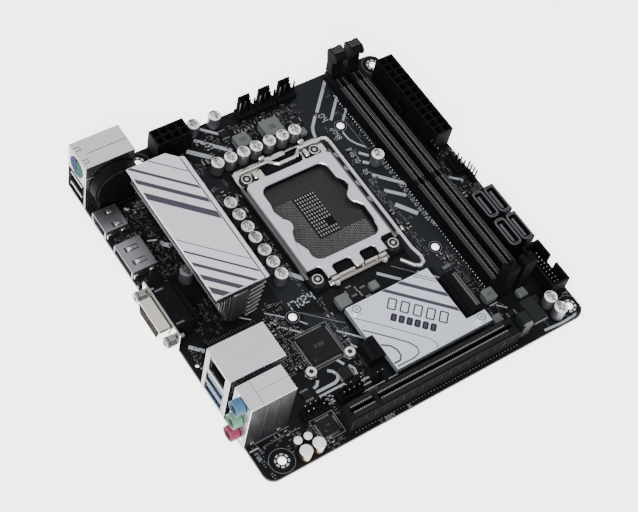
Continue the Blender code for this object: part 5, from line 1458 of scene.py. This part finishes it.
# Nodes that small parts needn't keep clear of: they lie high up, underneath, or inside another's box
NOT_IN_THE_WAY = ("pcb", "socket_backplate", "load_plate", "ilm_screw", "vrm_", "heatsink_pin", "dimm_latch",
                  "jackscrew", "audio_jack", "coin_cell", "capacitor_1", "capacitor_3")


def around(x, y, reach):
    return x - reach, x + reach, y - reach, y + reach


def widened(box, reach):
    return box[0] - reach, box[1] + reach, box[2] - reach, box[3] + reach


def keep_clear_boxes():
    """Boxes, as (x0, x1, y0, y1), that no small part may lie in."""
    boxes = [widened(span(node), 1.6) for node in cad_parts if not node.startswith(NOT_IN_THE_WAY)]
    boxes += [around(x, y, 3.9) for x, y in CAN_SPOTS]
    boxes += [around(x, y, radius + 0.8) for x, y, radius, _ in SOUND_CANS + SMALL_COILS]
    boxes += [around(x, y, 5.4) for x, y in MOUNT_HOLES]
    boxes += [around(x, y, 4.2) for x, y in COOLER_HOLES]
    boxes += [widened(chip, 1.9) for chip in SMALL_CHIPS]
    boxes += [(-60.5, -47.0, -19.5, 60.0), (-75.4, -50, -22, -16.4), (-25, -15, -69, -64.6),
              (81.6, 84.4, -2.8, 5.2)]
    for width, points in PRINTED_LINES:
        for (ax, ay), (bx, by) in zip(points, points[1:]):
            if abs(ax - bx) < 3.5 or abs(ay - by) < 3.5:
                boxes.append(widened((min(ax, bx), max(ax, bx), min(ay, by), max(ay, by)), width / 2))
    return boxes


PART_STEP = 1.15
PART_LIMIT = 84
# Length, width and height of a surface-mount part, each as often as it should be drawn
PART_SIZES = ((0.9, 0.42, 0.4),) * 4 + ((1.3, 0.65, 0.55),) + ((0.8, 0.4, 0.3),) * 3


def chip_part(shape, rng, x, y, along):
    """One surface-mount part: a ceramic body between two tinned ends, or a small three-legged one."""
    kind = rng.random()
    long, wide, tall = rng.choice(PART_SIZES)
    body = "ceramic" if kind < 0.5 else "resin"
    if kind > 0.95:
        long, wide, tall = 2.6, 1.4, 1.0
    for start, end, top, finish in ((-0.29, 0.29, tall * 0.96, body), (-0.5, -0.28, tall, "end"),
                                    (0.28, 0.5, tall, "end")):
        if along:
            shape.box(x + long * start, x + long * end, y - wide / 2, y + wide / 2, PAD_LOW, top, finish)
        else:
            shape.box(x - wide / 2, x + wide / 2, y + long * start, y + long * end, PAD_LOW, top, finish)


def small_parts():
    """Fields of surface-mount parts in short aligned rows, with printed numbers beside some of them."""
    rng = random.Random(24)
    boxes = keep_clear_boxes()
    shape, marks = Shape(), Shape()

    def taken(x, y):
        return any(a < x < b and c < y < d for a, b, c, d in boxes)

    for x0, x1, y0, y1, tries in PART_FIELDS:
        for _ in range(tries):
            along = rng.random() < 0.5
            x, y = rng.uniform(x0, x1), rng.uniform(y0, y1)
            count = rng.choice((1, 2, 3, 4))
            for k in range(count):
                px, py = (x, y + k * PART_STEP) if along else (x + k * PART_STEP, y)
                if px > PART_LIMIT or py > PART_LIMIT or taken(px, py):
                    continue
                chip_part(shape, rng, px, py, along)
                reach_x, reach_y = (PART_STEP, 0.8) if along else (0.8, PART_STEP)
                boxes.append((px - reach_x, px + reach_x, py - reach_y, py + reach_y))
            if rng.random() < 0.3:
                mx, my = x + rng.uniform(-2, 2), y - 1.4
                if not taken(mx, my):
                    marks.digits(str(rng.randint(10, 999)), mx, my, INK_Z, 0.65, "dim_ink",
                                 turn=rng.choice((0, -90)), thick=0.015)
    piece("small_parts", shape, smooth=0)
    piece("part_numbers", marks, smooth=0)


# ---------------------------------------------------------------- solder and plated rings

def dot(shape, x, y, z=0.0, radius=0.42, tall=0.12, finish="tin"):
    shape.turned((x, y, z), [(radius, 0.0), (radius * 0.75, tall), (radius * 0.2, tall * 1.5)], finish, 8)


def plated_rings():
    """Segmented pads round the mounting holes, and plated barrels through all eight large holes."""
    shape = Shape()
    for x, y in MOUNT_HOLES:
        for k in range(8):
            start = k * 45 + 6
            ring = sector(x, y, 3.3, 2.45, start, start + 30, 4)
            shape.prism(ring, 0.1, 0.16, "tin")
            shape.prism(ring, -BOARD_THICK - 0.16, -BOARD_THICK - 0.1, "tin")
        shape.stroke(arc(x, y, 5.6, 0, 360, 36), 0.2, "dim_ink", INK_Z)
    for x, y in MOUNT_HOLES + COOLER_HOLES:
        outer, inner = list(reversed(circle(x, y, HOLE_LINING_R))), circle(x, y, HOLE_LINING_R - 0.1)
        shape.plate(outer, [inner], -BOARD_THICK - 0.1, 0.12, "tin")
    for x, y in COOLER_HOLES:
        shape.stroke(arc(x, y, 3.0, 0, 360, 28), 0.25, "dim_ink", 0.11, 0.02)
    piece("plated_rings", shape, smooth=0)


# Tails of the metal shells: x, y and half length
SHELL_TAILS = ((-82.0, 68.6, 1.2), (-64.0, 81.6, 1.2), (-82.0, -49.4, 1.2), (-62.0, -33.0, 1.2),
               (-84.0, -13.0, 1.2), (-84.0, 15.0, 1.2), (-80.0, 49.6, 0.9), (-80.0, 60.4, 0.9),
               (-80.0, 26.0, 0.9), (-80.0, 41.0, 0.9))


def tail_spots():
    """Where the legs of the through-hole parts come out underneath."""
    spots = []
    for x in (55.7, 65.3):
        spots += [(x + side * 1.2, -55.0 + k * 1.75) for k in range(72) for side in (-1, 1)]
    spots += [(-41.0 + k * 1.0, -78.0 + (k % 2) * 1.6 + row * 3.0) for k in range(82) for row in (0, -1)]
    for _, x, y, columns, rows in POWER_PINS:
        spots += grid(x, y, columns, rows, POWER_PITCH, POWER_PITCH)
    for x in (7.0, 18.1, 29.2):
        spots += grid(x, 80.4, 4, 1, PIN_PITCH, 0)
    for x in (-51.0, -33.0):
        spots += grid(x, -66.6, 5, 2, PIN_PITCH, PIN_PITCH)
    spots += grid(80.0, 9.6, 2, 4, PIN_PITCH, PIN_PITCH)
    spots += grid(*USB3_PINS[:2], 2, 10, USB3_PINS[2], USB3_PINS[2], False)
    for x, y in ((75.6, -23.2), (82.5, -23.2), (75.6, -40.4), (82.5, -40.4)):
        spots += grid(x, y, 1, 7, 0, 1.27, False)
    for y in (69.5, -47.5):
        spots += grid(-66.0, y, 3, 6, -2.5, 2.4, False)
    spots += grid(-70.0, -64.5, 3, 4, -2.6, 3.0, False)
    return spots + grid(-73.0, -7.0, 2, 8, 2.2, VGA_PITCH, False)


def underside_parts(tails):
    """Scattered small parts below, clear of the backplate, the tails and the holes."""
    back = Shape()
    low = -BOARD_THICK
    rng = random.Random(7)
    for _ in range(240):
        x, y = rng.uniform(-80, 80), rng.uniform(-80, 80)
        if -25 < x < 36 and -23 < y < 55 or any(abs(x - a) < 2.4 and abs(y - b) < 2.4 for a, b in tails):
            continue
        if any((x - a) ** 2 + (y - b) ** 2 < 36 for a, b in MOUNT_HOLES + COOLER_HOLES):
            continue
        back.block(x, y, 0.5, 0.28, low - 0.4, low - 0.02, rng.choice(("ceramic", "resin")))
        for a, b in ((-0.62, -0.4), (0.4, 0.62)):
            back.box(x + a, x + b, y - 0.3, y + 0.3, low - 0.42, low - 0.02, "tin")
    piece("underside_parts", back, smooth=0)
    dress("socket_backplate", "dark_fin", 0.3)


def solder_joints():
    """Solder dots beside the slots on top, and the trimmed tails under every through-hole part."""
    top = Shape()
    for k in range(72):
        y = -56.0 + k * 1.78
        dot(top, 51.9, y + 0.9, radius=0.32, tall=0.08)
        if y < 70:
            dot(top, 60.5, y, radius=0.3, tall=0.08)
    for x, y in grid(-42.0, -72.9, 44, 1, 2.0, 0, False):
        dot(top, x, y, radius=0.3, tall=0.08)
    piece("solder_dots", top)
    under = Shape()
    low = -BOARD_THICK
    tails = tail_spots()
    for x, y in tails:
        under.turned((x, y, low), [(0.85, 0.0), (0.55, -0.35), (0.3, -0.7), (0.25, -1.3)], "tin", 8)
    for x, y, half in SHELL_TAILS:
        under.block(x, y, half, 0.6, low - 1.1, low, "tin", 0.3)
    piece("solder_tails", under)
    underside_parts(tails)


# ---------------------------------------------------------------- the whole board

make_camera()
make_lights()
make_floor()
board_surface()
contact_field()
load_plate()
socket_frame()
frame_screws()
vrm_heatsink()
chipset_heatsink()
capacitors()
coils()
memory_slots()
graphics_slot()
drive_slots()
power_connectors()
headers()
drive_ports()
keyboard_stack()
network_stack()
sound_stack()
flat_port("hdmi_port", tongue=8.6, springs=((-78.8, 51.2, 2.4), (-78.8, 58.4, 2.4)))
flat_port("displayport", tongue=11.0, springs=((-80.6, 29.8, 4.0), (-80.6, 37.0, 4.0)))
analogue_port()
battery()
chips()
small_parts()
plated_rings()
solder_joints()
